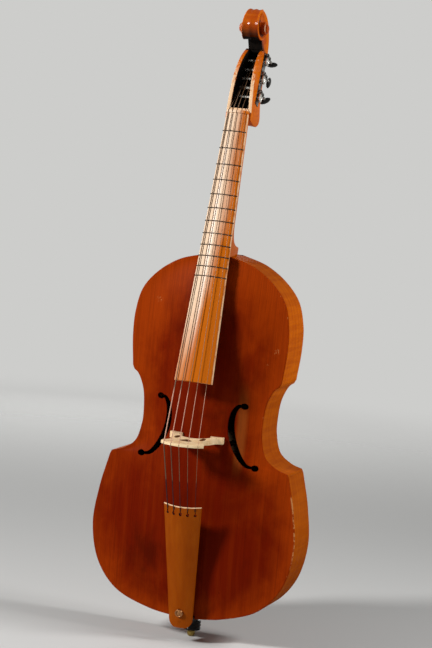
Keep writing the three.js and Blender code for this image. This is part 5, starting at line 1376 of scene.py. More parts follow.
def pin_piece():
    """The end pin: a long rod in the collar that ends in a wide ferrule with a groove and a blunt foot."""
    top = BOTTOM - COLLAR_HEIGHT - CLEARANCE
    wide, narrow = FERRULE_DIAMETER / 2, PIN_DIAMETER / 2
    low, high = top - FERRULE_HEIGHT, top + PIN_LENGTH
    foot = [(AXIS, low), (wide * 0.62, low), (wide * 0.8, low + FERRULE_CHAMFER), (wide, low + FERRULE_HEIGHT * 0.3)]
    groove = [(wide - deep, top - below) for below, deep in FERRULE_GROOVE]
    rod_end = [(narrow, high - narrow / 2), (narrow * 0.6, high), (AXIS, high)]
    profile = softened([*foot, *groove, (wide, top), (narrow, top), *rod_end], PIN_ROUNDING)
    return solid(turned_grid(profile, 64) + (0, MIDDLE, 0), name="end_pin_turned")


# Tuning machines, in the head's frame

GEAR_ROOT = (GEAR_DIAMETER - TOOTH_HEIGHT) / 2
GEAR_TIP = (GEAR_DIAMETER + TOOTH_HEIGHT) / 2
THREAD_PITCH = math.pi * GEAR_DIAMETER / GEAR_TEETH


def roller_half(index):
    """Half the pegbox's width at a roller."""
    return pegbox_half(roller_up(index))


def worm_x(index):
    """How far across a worm's axis lies: beside the plate, half its own width away."""
    return roller_half(index) + GLUE + MACHINE_PLATE + MACHINE_GAP + WORM_DIAMETER / 2


def worm_up(index):
    """How far up a worm's axis lies: over the wheel, with a clearance."""
    return roller_up(index) + GEAR_ROOT + WORM_DIAMETER / 2 + MESH_CLEARANCE


def ear_reach(index):
    """How far across the ears of a machine reach."""
    return worm_x(index) + KEY_SHAFT_DIAMETER / 2 + EAR_WALL


EAR_STARTS = (-WORM_LENGTH / 2 - GLUE - EAR_THICKNESS, WORM_LENGTH / 2 + GLUE)


def roller_piece(index):
    """A roller: its barrel and axle, and its toothed wheel with softened faces, sunk round the axle on one side."""
    side, up = machine_side(index), roller_up(index)
    far = ROLLER_SEAT + roller_half(index) - PEGBOX_WALL
    shoulder = roller_half(index) + GLUE + MACHINE_PLATE + MACHINE_GAP
    middle = worm_x(index)
    end = middle + GEAR_WIDTH / 2 + MACHINE_GAP
    wide, thin = ROLLER_DIAMETER / 2, AXLE_DIAMETER / 2
    barrel = softened([(AXIS, -far), (wide, -far), (wide, shoulder), (thin, shoulder),
                       (thin, end - ROLLER_CHAMFER), (thin * 0.6, end), (AXIS, end)], ROLLER_ROUNDING)
    barrel = turned_grid(barrel, 40)[..., ALONG_X] * (side, 1, 1) + (0, ROLLER_DEPTH, up)
    step = 2 * np.pi / GEAR_TEETH
    root, tip = TOOTH_ROOT / 2 / GEAR_ROOT, TOOTH_TIP / 2 / GEAR_TIP
    mark = np.array([(-root * 1.6, 0), (-root, 0), (-tip * 1.4, 0.7), (-tip, 1),
                     (tip, 1), (tip * 1.4, 0.7), (root, 0), (root * 1.6, 0)])
    turns = (np.pi / 2 + (np.arange(GEAR_TEETH)[:, None] + 0.5) * step + mark[:, 0]).ravel()
    rim = blend(GEAR_ROOT, GEAR_TIP, np.tile(mark[:, 1], GEAR_TEETH))
    rows = []
    for place, toothed, scale in WHEEL_FACES:
        radius = (rim if toothed else GEAR_ROOT) * scale
        rows.append(spread(side * (middle + place * GEAR_WIDTH), ROLLER_DEPTH + radius * np.cos(turns),
                           up + radius * np.sin(turns)))
    return worked(solid(barrel, HEAD_FRAME, f"roller_turned_{index + 1}"), [solid(np.array(rows), HEAD_FRAME)], "UNION")


def power(value, exponent):
    """A power that keeps the sign of its value."""
    return np.sign(value) * np.abs(value) ** exponent


def key_piece(index, swell):
    """A key: a shaft that swells into a collar, a worm whose thread winds round it, and a flattened oval button."""
    side, up, x = machine_side(index), worm_up(index), worm_x(index)
    start, radius = EAR_STARTS[0] - EAR_WALL, KEY_SHAFT_DIAMETER / 2
    neck = KEY_REACH - BUTTON_HEIGHT / 2
    collar = [(radius * share, neck + above) for above, share in KEY_COLLAR]
    profile = softened([(AXIS, start), (radius * 0.8, start), (radius, start + KEY_CHAMFER), *collar,
                        (AXIS, collar[-1][1])], KEY_ROUNDING)
    shaft = turned_grid(profile, 36)[..., ALONG_Y] + (side * x, ROLLER_DEPTH, up)
    reach = WORM_LENGTH / 2 - WORM_INSET
    deep = np.linspace(-reach, reach, 90)[:, None]
    turn = circle(36)[None]
    wave = 0.5 + 0.5 * np.cos(2 * np.pi * deep / THREAD_PITCH - turn - np.pi)
    fade = clamp((reach - np.abs(deep)) / WORM_RUNOUT)
    thread = blend(radius * 1.02, WORM_DIAMETER / 2, clamp((wave - 0.45) / 0.3) * fade)
    worm = spread(side * x + thread * np.sin(turn), ROLLER_DEPTH + deep, up + thread * np.cos(turn))
    lift = np.linspace(-np.pi / 2 + 0.02, np.pi / 2 - 0.02, 31)[:, None]
    turn = circle(56)[None]
    ring = power(np.cos(lift), 0.75)
    wide = BUTTON_WIDTH / 2 * ring * power(np.cos(turn), 0.85)
    thick = BUTTON_THICKNESS / 2 * ring * power(np.sin(turn), 0.9) * (1 + swell * np.cos(turn) ** 2)
    tall = BUTTON_HEIGHT / 2 * power(np.sin(lift), 0.9)
    angle = math.radians(BUTTON_TURNS[index])
    cos, sin = math.cos(angle), math.sin(angle)
    button = spread(side * x + wide * cos + thick * sin, ROLLER_DEPTH + KEY_REACH + tall, up - wide * sin + thick * cos)
    key = solid(shaft, HEAD_FRAME, f"key_turned_{index + 1}")
    return worked(key, [solid(worm, HEAD_FRAME), solid(button, HEAD_FRAME)], "UNION")


def plate_piece(side, place):
    """A machine plate: a scalloped strip with softened edges, round ears for the worms, holes, and domed screws."""
    low = ROLLER_FIRST - MACHINE_PLATE_MARGIN
    high = roller_up(STRING_COUNT - 1) + MACHINE_PLATE_MARGIN
    rear = MACHINE_PLATE_FRONT + MACHINE_PLATE_WIDTH
    up = np.linspace(high, low, 97)
    scallop = rear - SCALLOP * (1 - np.cos(2 * np.pi * (up - ROLLER_FIRST) / (2 * ROLLER_PITCH))) / 2
    line = np.concatenate([spread(scallop, up), spread(MACHINE_PLATE_FRONT, np.linspace(low, high, 25))])
    line = softened(np.vstack([line[-1:], line, line[:1]]), MACHINE_PLATE_ROUNDING, 2)[1:-1]
    left = inward(line, True)
    if (left * (line.mean(0) - line)).sum() < 0:
        left = -left
    rows = []
    for level, inset in MACHINE_PLATE_EDGE:
        spot = line + left * inset
        out = pegbox_half(spot[:, 1]) + GLUE + MACHINE_PLATE * level
        rows.append(spread(side * out, spot[:, 0], spot[:, 1]))
    plate = solid(np.array(rows), HEAD_FRAME, f"plate_{place}")
    mine = [index for index in range(STRING_COUNT) if machine_side(index) == side]
    reach = KEY_SHAFT_DIAMETER / 2 + EAR_WALL
    turn = np.linspace(-np.pi / 2, np.pi / 2, 17)
    parts, tools = [], []
    for index in mine:
        foot, x, z = roller_half(index) + GLUE + MACHINE_PLATE / 2, worm_x(index), worm_up(index)
        ear = np.vstack([[foot, -reach], spread(x + reach * np.cos(turn), reach * np.sin(turn)), [foot, reach]])
        for start in EAR_STARTS:
            rows = [spread(side * ear[:, 0], ROLLER_DEPTH + start + step, z + ear[:, 1]) for step in (0, EAR_THICKNESS)]
            parts.append(solid(np.array(rows), HEAD_FRAME))
        ends = [(side * x, ROLLER_DEPTH + step * WORM_LENGTH, z) for step in (-2, 2)]
        tools.append(rod(*ends, KEY_SHAFT_DIAMETER + BORE_ROOM, HEAD_FRAME))
        ends = [(side * out, ROLLER_DEPTH, roller_up(index)) for out in (0, ear_reach(index))]
        tools.append(rod(*ends, ROLLER_DIAMETER + BORE_ROOM, HEAD_FRAME))
    between = [roller_up(index) - ROLLER_PITCH * 0.62 for index in mine if index > 1]
    for screw_up in (low + SCREW_MARGIN, high - SCREW_MARGIN, *between):
        face = pegbox_half(screw_up) + GLUE + MACHINE_PLATE
        dome = (turned_grid(SCREW_DOME, 28)[..., ALONG_X] + (face, 0, 0)) * (side, 1, 1)
        parts.append(solid(dome + (0, MACHINE_PLATE_FRONT + SCREW_INSET, screw_up), HEAD_FRAME))
    worked(plate, parts, "UNION")
    return worked(plate, tools)


# Finishes


class Wire:
    """A socket of a finish that sums are written with: each sum becomes a node."""

    def __init__(self, finish, socket):
        self.finish, self.socket = finish, socket

    def __add__(self, other):
        return self.finish.total("ADD", self, other)

    def __sub__(self, other):
        return self.finish.total("SUBTRACT", self, other)

    def __rsub__(self, other):
        return self.finish.total("SUBTRACT", other, self)

    def __mul__(self, other):
        return self.finish.total("MULTIPLY", self, other)

    def __truediv__(self, other):
        return self.finish.total("DIVIDE", self, other)

    def __rtruediv__(self, other):
        return self.finish.total("DIVIDE", other, self)

    def __pow__(self, other):
        return self.finish.total("POWER", self, other)

    def __gt__(self, other):
        return self.finish.total("GREATER_THAN", self, other)

    def __lt__(self, other):
        return self.finish.total("LESS_THAN", self, other)

    __radd__ = __add__
    __rmul__ = __mul__


class Graph:
    """A tree of shader nodes, written as sums of its sockets."""

    def __init__(self, owner):
        owner.use_nodes = True
        self.tree = owner.node_tree
        self.tree.nodes.clear()

    def put(self, node, name, value):
        """Sets a socket of a node to a number or a colour, or links it."""
        sockets = [each for each in node.inputs if each.identifier == name]
        socket = (sockets or [each for each in node.inputs if each.name == name])[0]
        if isinstance(value, Wire):
            self.tree.links.new(value.socket, socket)
        elif socket.type == "RGBA" and len(value) == 3:
            socket.default_value = (*value, 1)
        else:
            socket.default_value = value

    def node(self, kind, settings=None, values=None, out=0):
        """Any node: its settings first, then its values or links; gives the socket asked for."""
        node = self.tree.nodes.new("ShaderNode" + kind)
        for name, value in (settings or {}).items():
            setattr(node, name, value)
        for name, value in (values or {}).items():
            self.put(node, name, value)
        return node if out is None else Wire(self, node.outputs[out])

    def total(self, operation, first, second):
        """One sum of two values, of numbers or of vectors."""
        wires = [each for each in (first, second) if isinstance(each, Wire)]
        if any(each.socket.type == "VECTOR" for each in wires):
            return self.node("VectorMath", {"operation": operation}, {"Vector": first, "Vector_001": second})
        return self.node("Math", {"operation": operation}, {"Value": first, "Value_001": second})

    def place(self, scale=(1, 1, 1), turn=(0, 0, 0), at=(0, 0, 0)):
        """Where a point of the piece lies, in metres, with its axes stretched by the scale."""
        where = self.node("TexCoord", out="Object")
        return self.node("Mapping", None, {"Vector": where, "Scale": scale, "Rotation": turn, "Location": at})

    def part(self, vector, axis):
        """One of the three numbers of a vector."""
        return self.node("SeparateXYZ", None, {"Vector": vector}, axis)

    def stored(self, name):
        """A number kept with each vertex of the piece."""
        return self.node("Attribute", {"attribute_name": name}, None, "Fac")

    def axis(self, axis):
        """How far along one axis a point of the piece lies, in metres."""
        return self.part(self.place(), axis)

    def rolled(self, across, deep):
        """The stored run and the depth of a point, stretched, for a piece that is bent round the body."""
        return self.node("CombineXYZ", None, {"X": self.stored("run") * across, "Y": self.axis("Y") * deep})

    def length(self, vector):
        """The length of a vector."""
        return self.node("VectorMath", {"operation": "LENGTH"}, {"Vector": vector}, "Value")

    def noise(self, squeeze, detail=3, roughness=0.5, twist=0, turn=(0, 0, 0), at=(0, 0, 0)):
        """Noise whose waves are squeezed along three axes, or along the run and the depth, or that follows a vector."""
        vector = squeeze
        if not isinstance(squeeze, Wire):
            vector = self.rolled(*squeeze) if len(squeeze) == 2 else self.place(squeeze, turn, at)
        values = {"Vector": vector, "Scale": 1.0, "Detail": detail, "Roughness": roughness, "Distortion": twist}
        return self.node("TexNoise", None, values)

    def rise(self, value, low, high):
        """Nought below the low value and one above the high one, with a soft step between them."""
        values = {"Value": value, "From Min": low, "From Max": high}
        return self.node("MapRange", {"interpolation_type": "SMOOTHSTEP"}, values)

    def mixed(self, share, first, second):
        """Two colours mixed by a share."""
        values = {"Factor_Float": share, "A_Color": first, "B_Color": second}
        return self.node("Mix", {"data_type": "RGBA", "blend_type": "MIX"}, values, "Result")

    def bump(self, height, depth, strength=1.0):
        """A height in shares of the depth, which is in metres, as a slope of the surface."""
        return self.node("Bump", None, {"Height": height, "Distance": depth, "Strength": strength})


class Finish(Graph):
    """A material for one kind of surface: a shader with its output, and a colour that is laid on in layers."""

    def __init__(self, name, **plain):
        self.material = bpy.data.materials.new(name)
        super().__init__(self.material)
        self.shader = self.node("BsdfPrincipled")
        self.end = self.node("OutputMaterial", None, {"Surface": self.shader}, None)
        self.colour = None
        self.surface(**plain)

    def surface(self, **values):
        """Sets or links the shader's own sockets, named with underscores for spaces."""
        for name, value in values.items():
            self.put(self.shader.socket.node, name.replace("_", " "), value)

    def layer(self, share, paint):
        """Lays a paint over the colour so far, by a share."""
        self.colour = self.mixed(share, self.colour, paint)

    def done(self, rough, height, depth, strength=0.5):
        """Links the colour, how rough it is and a bump to the shader, and gives the material."""
        self.surface(Base_Color=self.colour, Roughness=rough, Normal=self.bump(height, depth, strength))
        return self.material


def light(code):
    """A colour written in six hexadecimal digits, as linear light."""
    shares = [int(code[start:start + 2], 16) / 255 for start in (0, 2, 4)]
    return tuple(share / 12.92 if share <= 0.04045 else ((share + 0.055) / 1.055) ** 2.4 for share in shares)


# Small scuffs in the belly's varnish: their places across and up, and how far they reach, in metres
SCUFFS = ((-0.111, 0.464, 0.008), (0.142, 0.387, 0.008), (0.128, 0.36, 0.004))
# How far apart the rings of a wound string lie, in metres
WINDING = 0.0005


def belly_finish(paints):
    """Red-brown varnish on spruce: grain, warm patches, small knocks, a pale broken edge line, a painted sheen band."""
    finish = Finish("belly_varnish", Specular_IOR_Level=0, Coat_Weight=0.03, Coat_Roughness=0.45)
    edge = finish.stored("edge")
    where = finish.place()
    across, height = finish.part(where, "X"), finish.part(where, "Z")
    grain = finish.noise((820, 90, 7), 4, 0.62)
    broad = finish.noise((60, 10, 3), 3, 0.55)
    cloud = finish.noise((6.5, 6.5, 4.2), 5, 0.6, 0.4)
    fine = finish.noise((26, 26, 17), 5, 0.65, 0.6)
    warm = cloud * 0.66 + fine * 0.3 - finish.rise(edge, 0.06, 0.14) * 0.08
    warm = warm + finish.rise(edge, 0.075, 0.0) * 0.2 + finish.rise(height, 0.12, 0.55) * 0.16
    finish.colour = finish.mixed(finish.rise(warm, 0.42, 0.82), paints.belly_dark, paints.belly_warm)
    finish.layer(finish.rise(grain, 0.35, 0.75) * 0.34, paints.belly_shade)
    finish.layer(finish.rise(broad, 0.45, 0.8) * 0.22, paints.belly_warm)
    dark = finish.noise((8, 8, 5), 4, 0.6, 0.5, at=(4, 2, 7))
    finish.layer(finish.rise(dark, 0.48, 0.72) * finish.rise(edge, 0.01, 0.07) * 0.6, paints.belly_shade)
    # Painted sheen: a lighter upright band beside the treble sound hole stands for a reflection on the belly
    band = finish.rise(across, 0.074, 0.082) * finish.rise(across, 0.101, 0.09)
    band = band * finish.rise(height, 0.33, 0.24) * finish.rise(height, 0.12, 0.17)
    finish.layer(band * 0.35, paints.belly_painted_sheen)
    scuff = finish.noise((520, 520, 260), 3, 0.7, turn=(0, 0.5, 0))
    for x, z, reach in SCUFFS:
        away = finish.length((where - (x, 0, z)) * (1, 0, 1))
        finish.layer(finish.rise(away, reach, reach * 0.4) * finish.rise(scuff, 0.55, 0.62) * 0.8, paints.bare_edge)
    cells = {"Vector": finish.place((34, 34, 22)), "Scale": 1.0}
    cells = finish.node("TexVoronoi", {"feature": "F1"}, cells, "Distance")
    seldom = finish.noise((9, 9, 9), 1, at=(3, 1, 2)) > 0.56
    knock = finish.rise(cells + finish.noise((300, 300, 300)) * 0.08, 0.1, 0.055) * seldom
    finish.layer(knock * 0.7, paints.belly_shade)
    broken = finish.noise((70, 70, 70), 4, 0.7, at=(0.3, 0.2, 0.7))
    often = finish.rise(across, 0.05, 0.19) * finish.rise(height, 0.112, 0.1) * finish.rise(height, -0.07, -0.02) * 0.16
    wear = finish.rise(edge, 0.0024, 0.0004) * finish.rise(broken + often, 0.62, 0.7) * paints.wear
    finish.layer(wear, paints.bare_edge)
    rough = finish.noise((120, 120, 60), 4, 0.6) * 0.16 + 0.24 + wear * 0.25
    return finish.done(rough, grain * 0.6 + fine * 0.5 + knock * -1.4, 0.00022)


def maple_finish(name, paints, patterns, colours, gloss, depths=(), worn=False, foot=None, shaded=False):
    """Varnished maple: flames across the grain, long streaks and fibres along it, each a squeezed noise.

    Depths are darker zones, each with its share and the heights where it is nought and full. A foot is a paler
    colour below a height. A worn piece shows bare wood where it is marked, and a shaded one darkens where it is.
    """
    finish = Finish(name, Specular_IOR_Level=0, Coat_Weight=gloss, Coat_Roughness=0.12)
    flames, streaks, fibres = patterns
    low, high, deep = colours
    height = finish.axis("Z")
    flame = finish.noise(flames, 2, 0.5, 0.3)
    streak = finish.noise(streaks, 4, 0.6, 0.2)
    fibre = finish.noise(fibres, 3, 0.6)
    cloud = finish.noise((11, 11, 8), 4, 0.55, 0.5)
    share = finish.rise(flame, 0.36, 0.66) * paints.flame * 0.5
    share = share + finish.rise(streak, 0.3, 0.75) * 0.34 + finish.rise(cloud, 0.35, 0.7) * 0.3
    finish.colour = finish.mixed(share, low, high)
    if foot:
        pale, below, above = foot
        finish.layer(finish.rise(height, above, below) * (share * 0.4 + 0.5), pale)
    finish.layer(finish.rise(fibre, 0.5, 0.8) * 0.3, deep)
    for most, nought, full in depths:
        finish.layer(finish.rise(height, nought, full) * most, deep)
    if shaded:
        # The stored shade darkens the head, as painted shade under the scroll's curl and darker in its hollows;
        # negative values pale its rim
        shade = finish.stored("shade")
        finish.layer(finish.rise(shade, 0, 1) * 0.95, paints.head_shade)
        finish.layer(finish.rise(shade, 0, -1) * 0.7, paints.amber_pale)
    rough = streak * 0.16 + 0.2
    if worn:
        broken = finish.noise((160, 160, 110), 4, 0.65, at=(0.1, 0.4, 0.2))
        rub = finish.rise(finish.stored("worn") * 0.8 + broken * 0.9, 0.86, 1.12) * paints.wear
        finish.layer(rub, paints.bare_maple)
        rough = rough + rub * 0.2
    return finish.done(rough, fibre * 0.7 + flame * 0.3, 0.00012, 0.45)


def stain_and_shade_finish(paints):
    """Black stain on bare wood, also painted shade on the throat under the scroll: uneven, dull, with the grain showing
    through.
    """
    finish = Finish("black_stain_and_throat_shade", Specular_IOR_Level=0.05)
    grain = finish.noise((260, 260, 30), 4, 0.65)
    cloud = finish.noise((60, 60, 40), 4, 0.6)
    finish.colour = finish.mixed(finish.rise(grain * 0.6 + cloud * 0.5, 0.4, 0.8), paints.black, paints.brown_black)
    return finish.done(grain * 0.2 + 0.55, grain, 0.0002)


def board_finish(paints):
    """Pale waxed maple: long fibres, grey and orange bands, dark flecks, bare edges, and a painted sheen towards its
    top and bass side.
    """
    finish = Finish("pale_maple_board", Specular_IOR_Level=0, Coat_Weight=0.13, Coat_Roughness=0.16)
    band = finish.noise((105, 30, 2.2), 3, 0.5, 0.1)
    fibre = finish.noise((1400, 200, 14), 3, 0.6)
    fleck = finish.noise((420, 100, 60), 2, 0.5)
    cloud = finish.noise((16, 16, 5), 4, 0.6)
    # Painted sheen: the board is paler towards its top and its bass side, where the lamp's reflection lies, and more
    # orange towards its treble side and lower end
    side = finish.rise(finish.axis("X"), -0.022, 0.03)
    height = finish.rise(finish.axis("Z"), 0.28, 0.66)
    warm = finish.rise(band * 0.5 + cloud * 0.35 + side * 0.92 - height * 0.72, -0.07, 0.58)
    finish.colour = finish.mixed(warm, paints.board_pale, paints.board_warm)
    finish.layer(finish.rise(fibre, 0.5, 0.8) * 0.35, paints.board_deep)
    finish.layer(finish.rise(fleck, 0.62, 0.75) * 0.25, paints.board_deep)
    finish.layer(finish.stored("worn") * finish.rise(fleck + cloud, 0.75, 1.05) * 0.8, paints.bare_maple)
    return finish.done(cloud * 0.14 + 0.24, fibre * 0.8 + band * 0.4, 0.00012)


def bridge_finish(paints):
    """Bare maple: fine fibres across, short dark flecks, a little dirt in patches."""
    finish = Finish("pale_maple_bridge", Specular_IOR_Level=0.3)
    fibre = finish.noise((60, 900, 900), 3, 0.6)
    fleck = finish.noise((700, 260, 700), 2, 0.5)
    cloud = finish.noise((45, 45, 45), 4, 0.6)
    warm = finish.rise(fibre * 0.5 + cloud * 0.6, 0.4, 0.8)
    finish.colour = finish.mixed(warm, paints.bridge_pale, paints.bridge_warm)
    finish.layer(finish.rise(fleck, 0.64, 0.72) * 0.6, paints.bridge_fleck)
    return finish.done(cloud * 0.2 + 0.38, fibre, 0.00012)


def metal_finish(name, colour, dull, rough):
    """Metal with fine scratches, a cloudy tarnish and a rough that follows both."""
    finish = Finish(name, Metallic=1.0)
    cloud = finish.noise((240, 240, 240), 4, 0.6)
    scratch = finish.noise((2600, 300, 300), 3, 0.6, turn=(0.4, 0.2, 0.9))
    share = finish.rise(cloud, 0.42, 0.72)
    finish.colour = finish.mixed(share, colour, dull)
    return finish.done(share * 0.18 + scratch * 0.1 + rough, scratch, 0.00003, 0.4)


def string_finish(name, paints, wound, colour, dull):
    """A string: windings as fine rings along its run, or drawn wire with faint marks.

    It is brighter between bridge and board with a painted highlight, duller from the bridge down with painted shade,
    and wound with silk at its tail end.
    """
    finish = Finish(name, Metallic=0.1, Specular_IOR_Level=0.25)
    run = finish.stored("run")
    height = finish.axis("Z")
    cloud = finish.noise((90, 90, 30), 4, 0.6)
    mark = finish.noise(finish.node("CombineXYZ", None, {"X": run * 700.0}), 3, 0.6)
    finish.colour = finish.mixed(finish.rise(cloud * 0.6 + mark * 0.4, 0.35, 0.7), colour, dull)
    # Painted highlight between the bridge and the end of the board, then painted shade from the bridge down
    finish.layer(finish.rise(height, 0.19, 0.2) * finish.rise(height, 0.305, 0.293) * 0.8, paints.string_painted_highlight)
    finish.layer(finish.rise(height, 0.192, 0.186) * 0.85, dull)
    finish.layer(finish.rise(height, 0.122, 0.117), paints.silk)
    if wound:
        ring = finish.node("Math", {"operation": "SINE"}, {"Value": run * (2 * math.pi / WINDING)})
        return finish.done(cloud * 0.15 + 0.3, ring, WINDING / 10)
    return finish.done(cloud * 0.15 + 0.2, mark, 0.000004)


def dark_finish(name, colour, lighter, rough, scale, specular=0.15, coat=0.0):
    """Dark horn, ebony or plastic, or painted shade in bridge windows and keyholes: faint cloudy fibres and a rough
    that varies with them.
    """
    finish = Finish(name, Specular_IOR_Level=specular, Coat_Weight=coat, Coat_Roughness=0.1)
    grain = finish.noise(scale, 4, 0.6)
    cloud = finish.noise((70, 70, 70), 4, 0.6)
    finish.colour = finish.mixed(finish.rise(grain * 0.6 + cloud * 0.5, 0.4, 0.85), colour, lighter)
    return finish.done(cloud * 0.14 + rough, grain, 0.00008)


def inner_finish(paints):
    """Bare maple inside the body, darkened as painted shade for the dark inside of the body."""
    finish = Finish("inner_maple", Specular_IOR_Level=0.1)
    grain = finish.noise((300, 60, 14), 4, 0.6)
    cloud = finish.noise((20, 20, 12), 4, 0.6)
    pale = finish.rise(grain * 0.5 + cloud * 0.5, 0.35, 0.7)
    finish.colour = finish.mixed(pale, paints.brown_black, paints.inner_painted_shade)
    return finish.done(grain * 0.2 + 0.6, grain, 0.0002)


def spruce_finish(paints):
    """Bare spruce and willow of the inner pieces: straight grain lines and a light dust."""
    finish = Finish("bare_spruce", Specular_IOR_Level=0.25)
    grain = finish.noise((700, 120, 8), 4, 0.6)
    cloud = finish.noise((22, 22, 12), 4, 0.6)
    finish.colour = finish.mixed(finish.rise(grain, 0.4, 0.75) * 0.7, paints.spruce_pale, paints.spruce_dark)
    finish.layer(finish.rise(cloud, 0.5, 0.8) * 0.3, paints.spruce_dark)
    return finish.done(cloud * 0.15 + 0.6, grain, 0.00015)


def paint(name, description, code):
    """A colour that can be set, with its default in hexadecimal digits."""
    return FloatVectorProperty(name=name, description=description, default=light(code), size=3, min=0, max=1,
                               subtype="COLOR")


class ViolPaints(bpy.types.PropertyGroup):
    """The colours of the instrument and of the stage."""

    belly_dark: paint("Belly, dark", "Dark red-brown of the belly's varnish", "6c1501")
    belly_warm: paint("Belly, warm", "Orange-brown where the belly's varnish is rubbed thin", "9c3604")
    # A painted sheen: the reflection in an upright band beside the treble sound hole
    belly_painted_sheen: paint("Belly, band", "Thinner varnish in an upright band beside the treble sound hole", "9a5a24")
    belly_shade: paint("Belly, grain", "Colour of the grain lines and knocks in the belly", "360801")
    bare_edge: paint("Bare edge", "Wood that shows where the belly's edge is worn", "c98a52")
    amber_pale: paint("Amber, pale", "Honey colour of the ribs and back", "de7004")
    amber_warm: paint("Amber, warm", "Deeper amber of the ribs and back", "b44e03")
    # Also the colour of the painted shade at the body's bottom, waist and shoulders
    amber_deep: paint("Amber, deep", "Fibres and flames in the amber varnish", "6c2a02")
    head_pale: paint("Head, pale", "Orange of the neck, pegbox and scroll", "cc640c")
    head_warm: paint("Head, warm", "Red-orange of the neck, pegbox and scroll", "9c3204")
    # Painted shade under the scroll's curl, and the darker colour of its hollows
    head_shade: paint("Head shade", "Varnish gathered in the scroll's hollows", "240a03")
    silk: paint("Silk", "Silk wound round the tail ends of the strings", "2c1218")
    # Painted shade for the inside of the body, seen through the sound holes
    inner_painted_shade: paint("Inner brown", "Aged bare wood inside the body", "3a2614")
    # A painted dark reflection on the machines' plates
    plate_painted_reflection: paint("Dark steel", "Blackened steel of the machines' plates", "1d1b19")
    head_deep: paint("Head, deep", "Fibres and flames of the head's varnish", "641c03")
    bare_maple: paint("Bare maple", "Wood that shows where the pegbox and scroll are worn", "f0cda4")
    # Grey cream, also standing for the painted sheen on the board's upper and bass-side part
    board_pale: paint("Board, pale", "Grey cream of the fingerboard", "f4d4b4")
    board_warm: paint("Board, warm", "Orange tan of the fingerboard", "c4640c")
    board_deep: paint("Board, deep", "Fibres of the fingerboard", "7e4a1c")
    bridge_pale: paint("Bridge, pale", "Cream of the bridge", "f6dcb0")
    bridge_warm: paint("Bridge, warm", "Tan of the bridge", "dfb27c")
    bridge_fleck: paint("Bridge, flecks", "Flecks in the bridge", "7d4c26")
    tail_pale: paint("Tailpiece, pale", "Light amber of the tailpiece", "a04e08")
    tail_warm: paint("Tailpiece, warm", "Brown amber of the tailpiece", "8a3a02")
    tail_deep: paint("Tailpiece, deep", "Fibres of the tailpiece", "6a3002")
    black: paint("Black", "Black of the stain, buttons and collar", "0a0908")
    brown_black: paint("Brown black", "Lighter parts of the black stain", "1c130d")
    fret_dark: paint("Fret", "Dark metal of the frets", "51463c")
    steel: paint("Steel", "Bright steel of the rollers and plates", "9a9892")
    # Brighter than steel: a painted highlight on the rollers
    roller_steel_highlight: paint("Bright steel", "Polished steel of the rollers", "e6e3dc")
    dull_steel: paint("Dull steel", "Tarnish on the steel", "504d48")
    bronze: paint("Bronze", "Bronze of the tailpiece's knob", "b07c50")
    dull_bronze: paint("Dull bronze", "Tarnish on the bronze", "4c2c18")
    brass: paint("Brass", "Brass of the end pin's ferrule", "a58c4c")
    dull_brass: paint("Dull brass", "Tarnish on the brass", "6e5c30")
    wound: paint("Wound string", "Silvery winding of the two lowest strings", "7c6048")
    dull_wound: paint("Wound string, dull", "Tarnish on the windings", "5c4634")
    plain: paint("Plain string", "Bright wire of the three highest strings", "866448")
    # Painted highlight on the strings between board and bridge
    string_painted_highlight: paint("Bowed string", "Bare wire where the bow runs, between board and bridge", "d6a088")
    dull_plain: paint("Plain string, dull", "Tarnish on the wire", "6a4e38")
    spruce_pale: paint("Spruce, pale", "Bare wood inside the body", "7c6040")
    spruce_dark: paint("Spruce, grain", "Grain of the bare wood inside the body", "553c22")
    floor: paint("Floor", "Pale floor", "d2d2d0")
    backdrop: paint("Backdrop", "Pale background behind the instrument", "cdcdcb")
    wear: FloatProperty(name="Wear", description="How much of the bare wood shows along worn edges", default=0.9,
                        min=0, max=1, subtype="FACTOR")
    flame: FloatProperty(name="Flame", description="How strongly the maple's flames show", default=0.55,
                         min=0, max=1, subtype="FACTOR")


class ViolSizes(bpy.types.PropertyGroup):
    """Sizes of the surfaces that the model leaves open, and the powers of the lamps."""

    rim_rounding: FloatProperty(name="Rim rounding", description="How far the edges of belly and back are rounded",
                                default=0.0016, min=0.0002, max=0.0022, precision=5, subtype="DISTANCE", unit="LENGTH")
    scroll_hollow: FloatProperty(name="Scroll hollow", description="How deep the sides of the scroll are hollowed",
                                 default=0.0042, min=0, max=0.006, precision=5, subtype="DISTANCE", unit="LENGTH")
    button_swell: FloatProperty(name="Button swell", description="How much the key buttons swell towards their rims",
                                default=-0.25, min=-0.6, max=0.6, subtype="FACTOR")
    key_light: FloatProperty(name="Key light", description="Power of the large soft lamp at the front left",
                             default=116, min=0, max=400, unit="POWER")
    side_light: FloatProperty(name="Side light", description="Power of the soft lamp at the right",
                              default=38, min=0, max=400, unit="POWER")
    rear_light: FloatProperty(name="Rear light", description="Power of the soft lamp behind",
                              default=20, min=0, max=400, unit="POWER")
    daylight: FloatProperty(name="Daylight", description="Strength of the even light from all round",
                            default=0.02, min=0, max=2)


# Operators


def kept(context):
    """The colours and sizes kept with the scene."""
    return context.scene.viol_paints, context.scene.viol_sizes


class Making:
    """What the operators share: a step that shows its settings and can be undone."""

    bl_options = {"REGISTER", "UNDO"}


class VIOL_OT_belly(Making, bpy.types.Operator):
    """Carve the arched belly with its two sound holes"""

    bl_idname = "viol.belly"
    bl_label = "Belly"

    def execute(self, context):
        paints, sizes = kept(context)
        belly = smoothed(belly_piece(sizes.rim_rounding / METRE), 40)
        corners = corners_of(belly)
        marked(belly, "edge", edge_distance(corners[:, [0, 2]]) * METRE)
        seated(belly, belly_finish(paints), ["belly"])
        return {"FINISHED"}


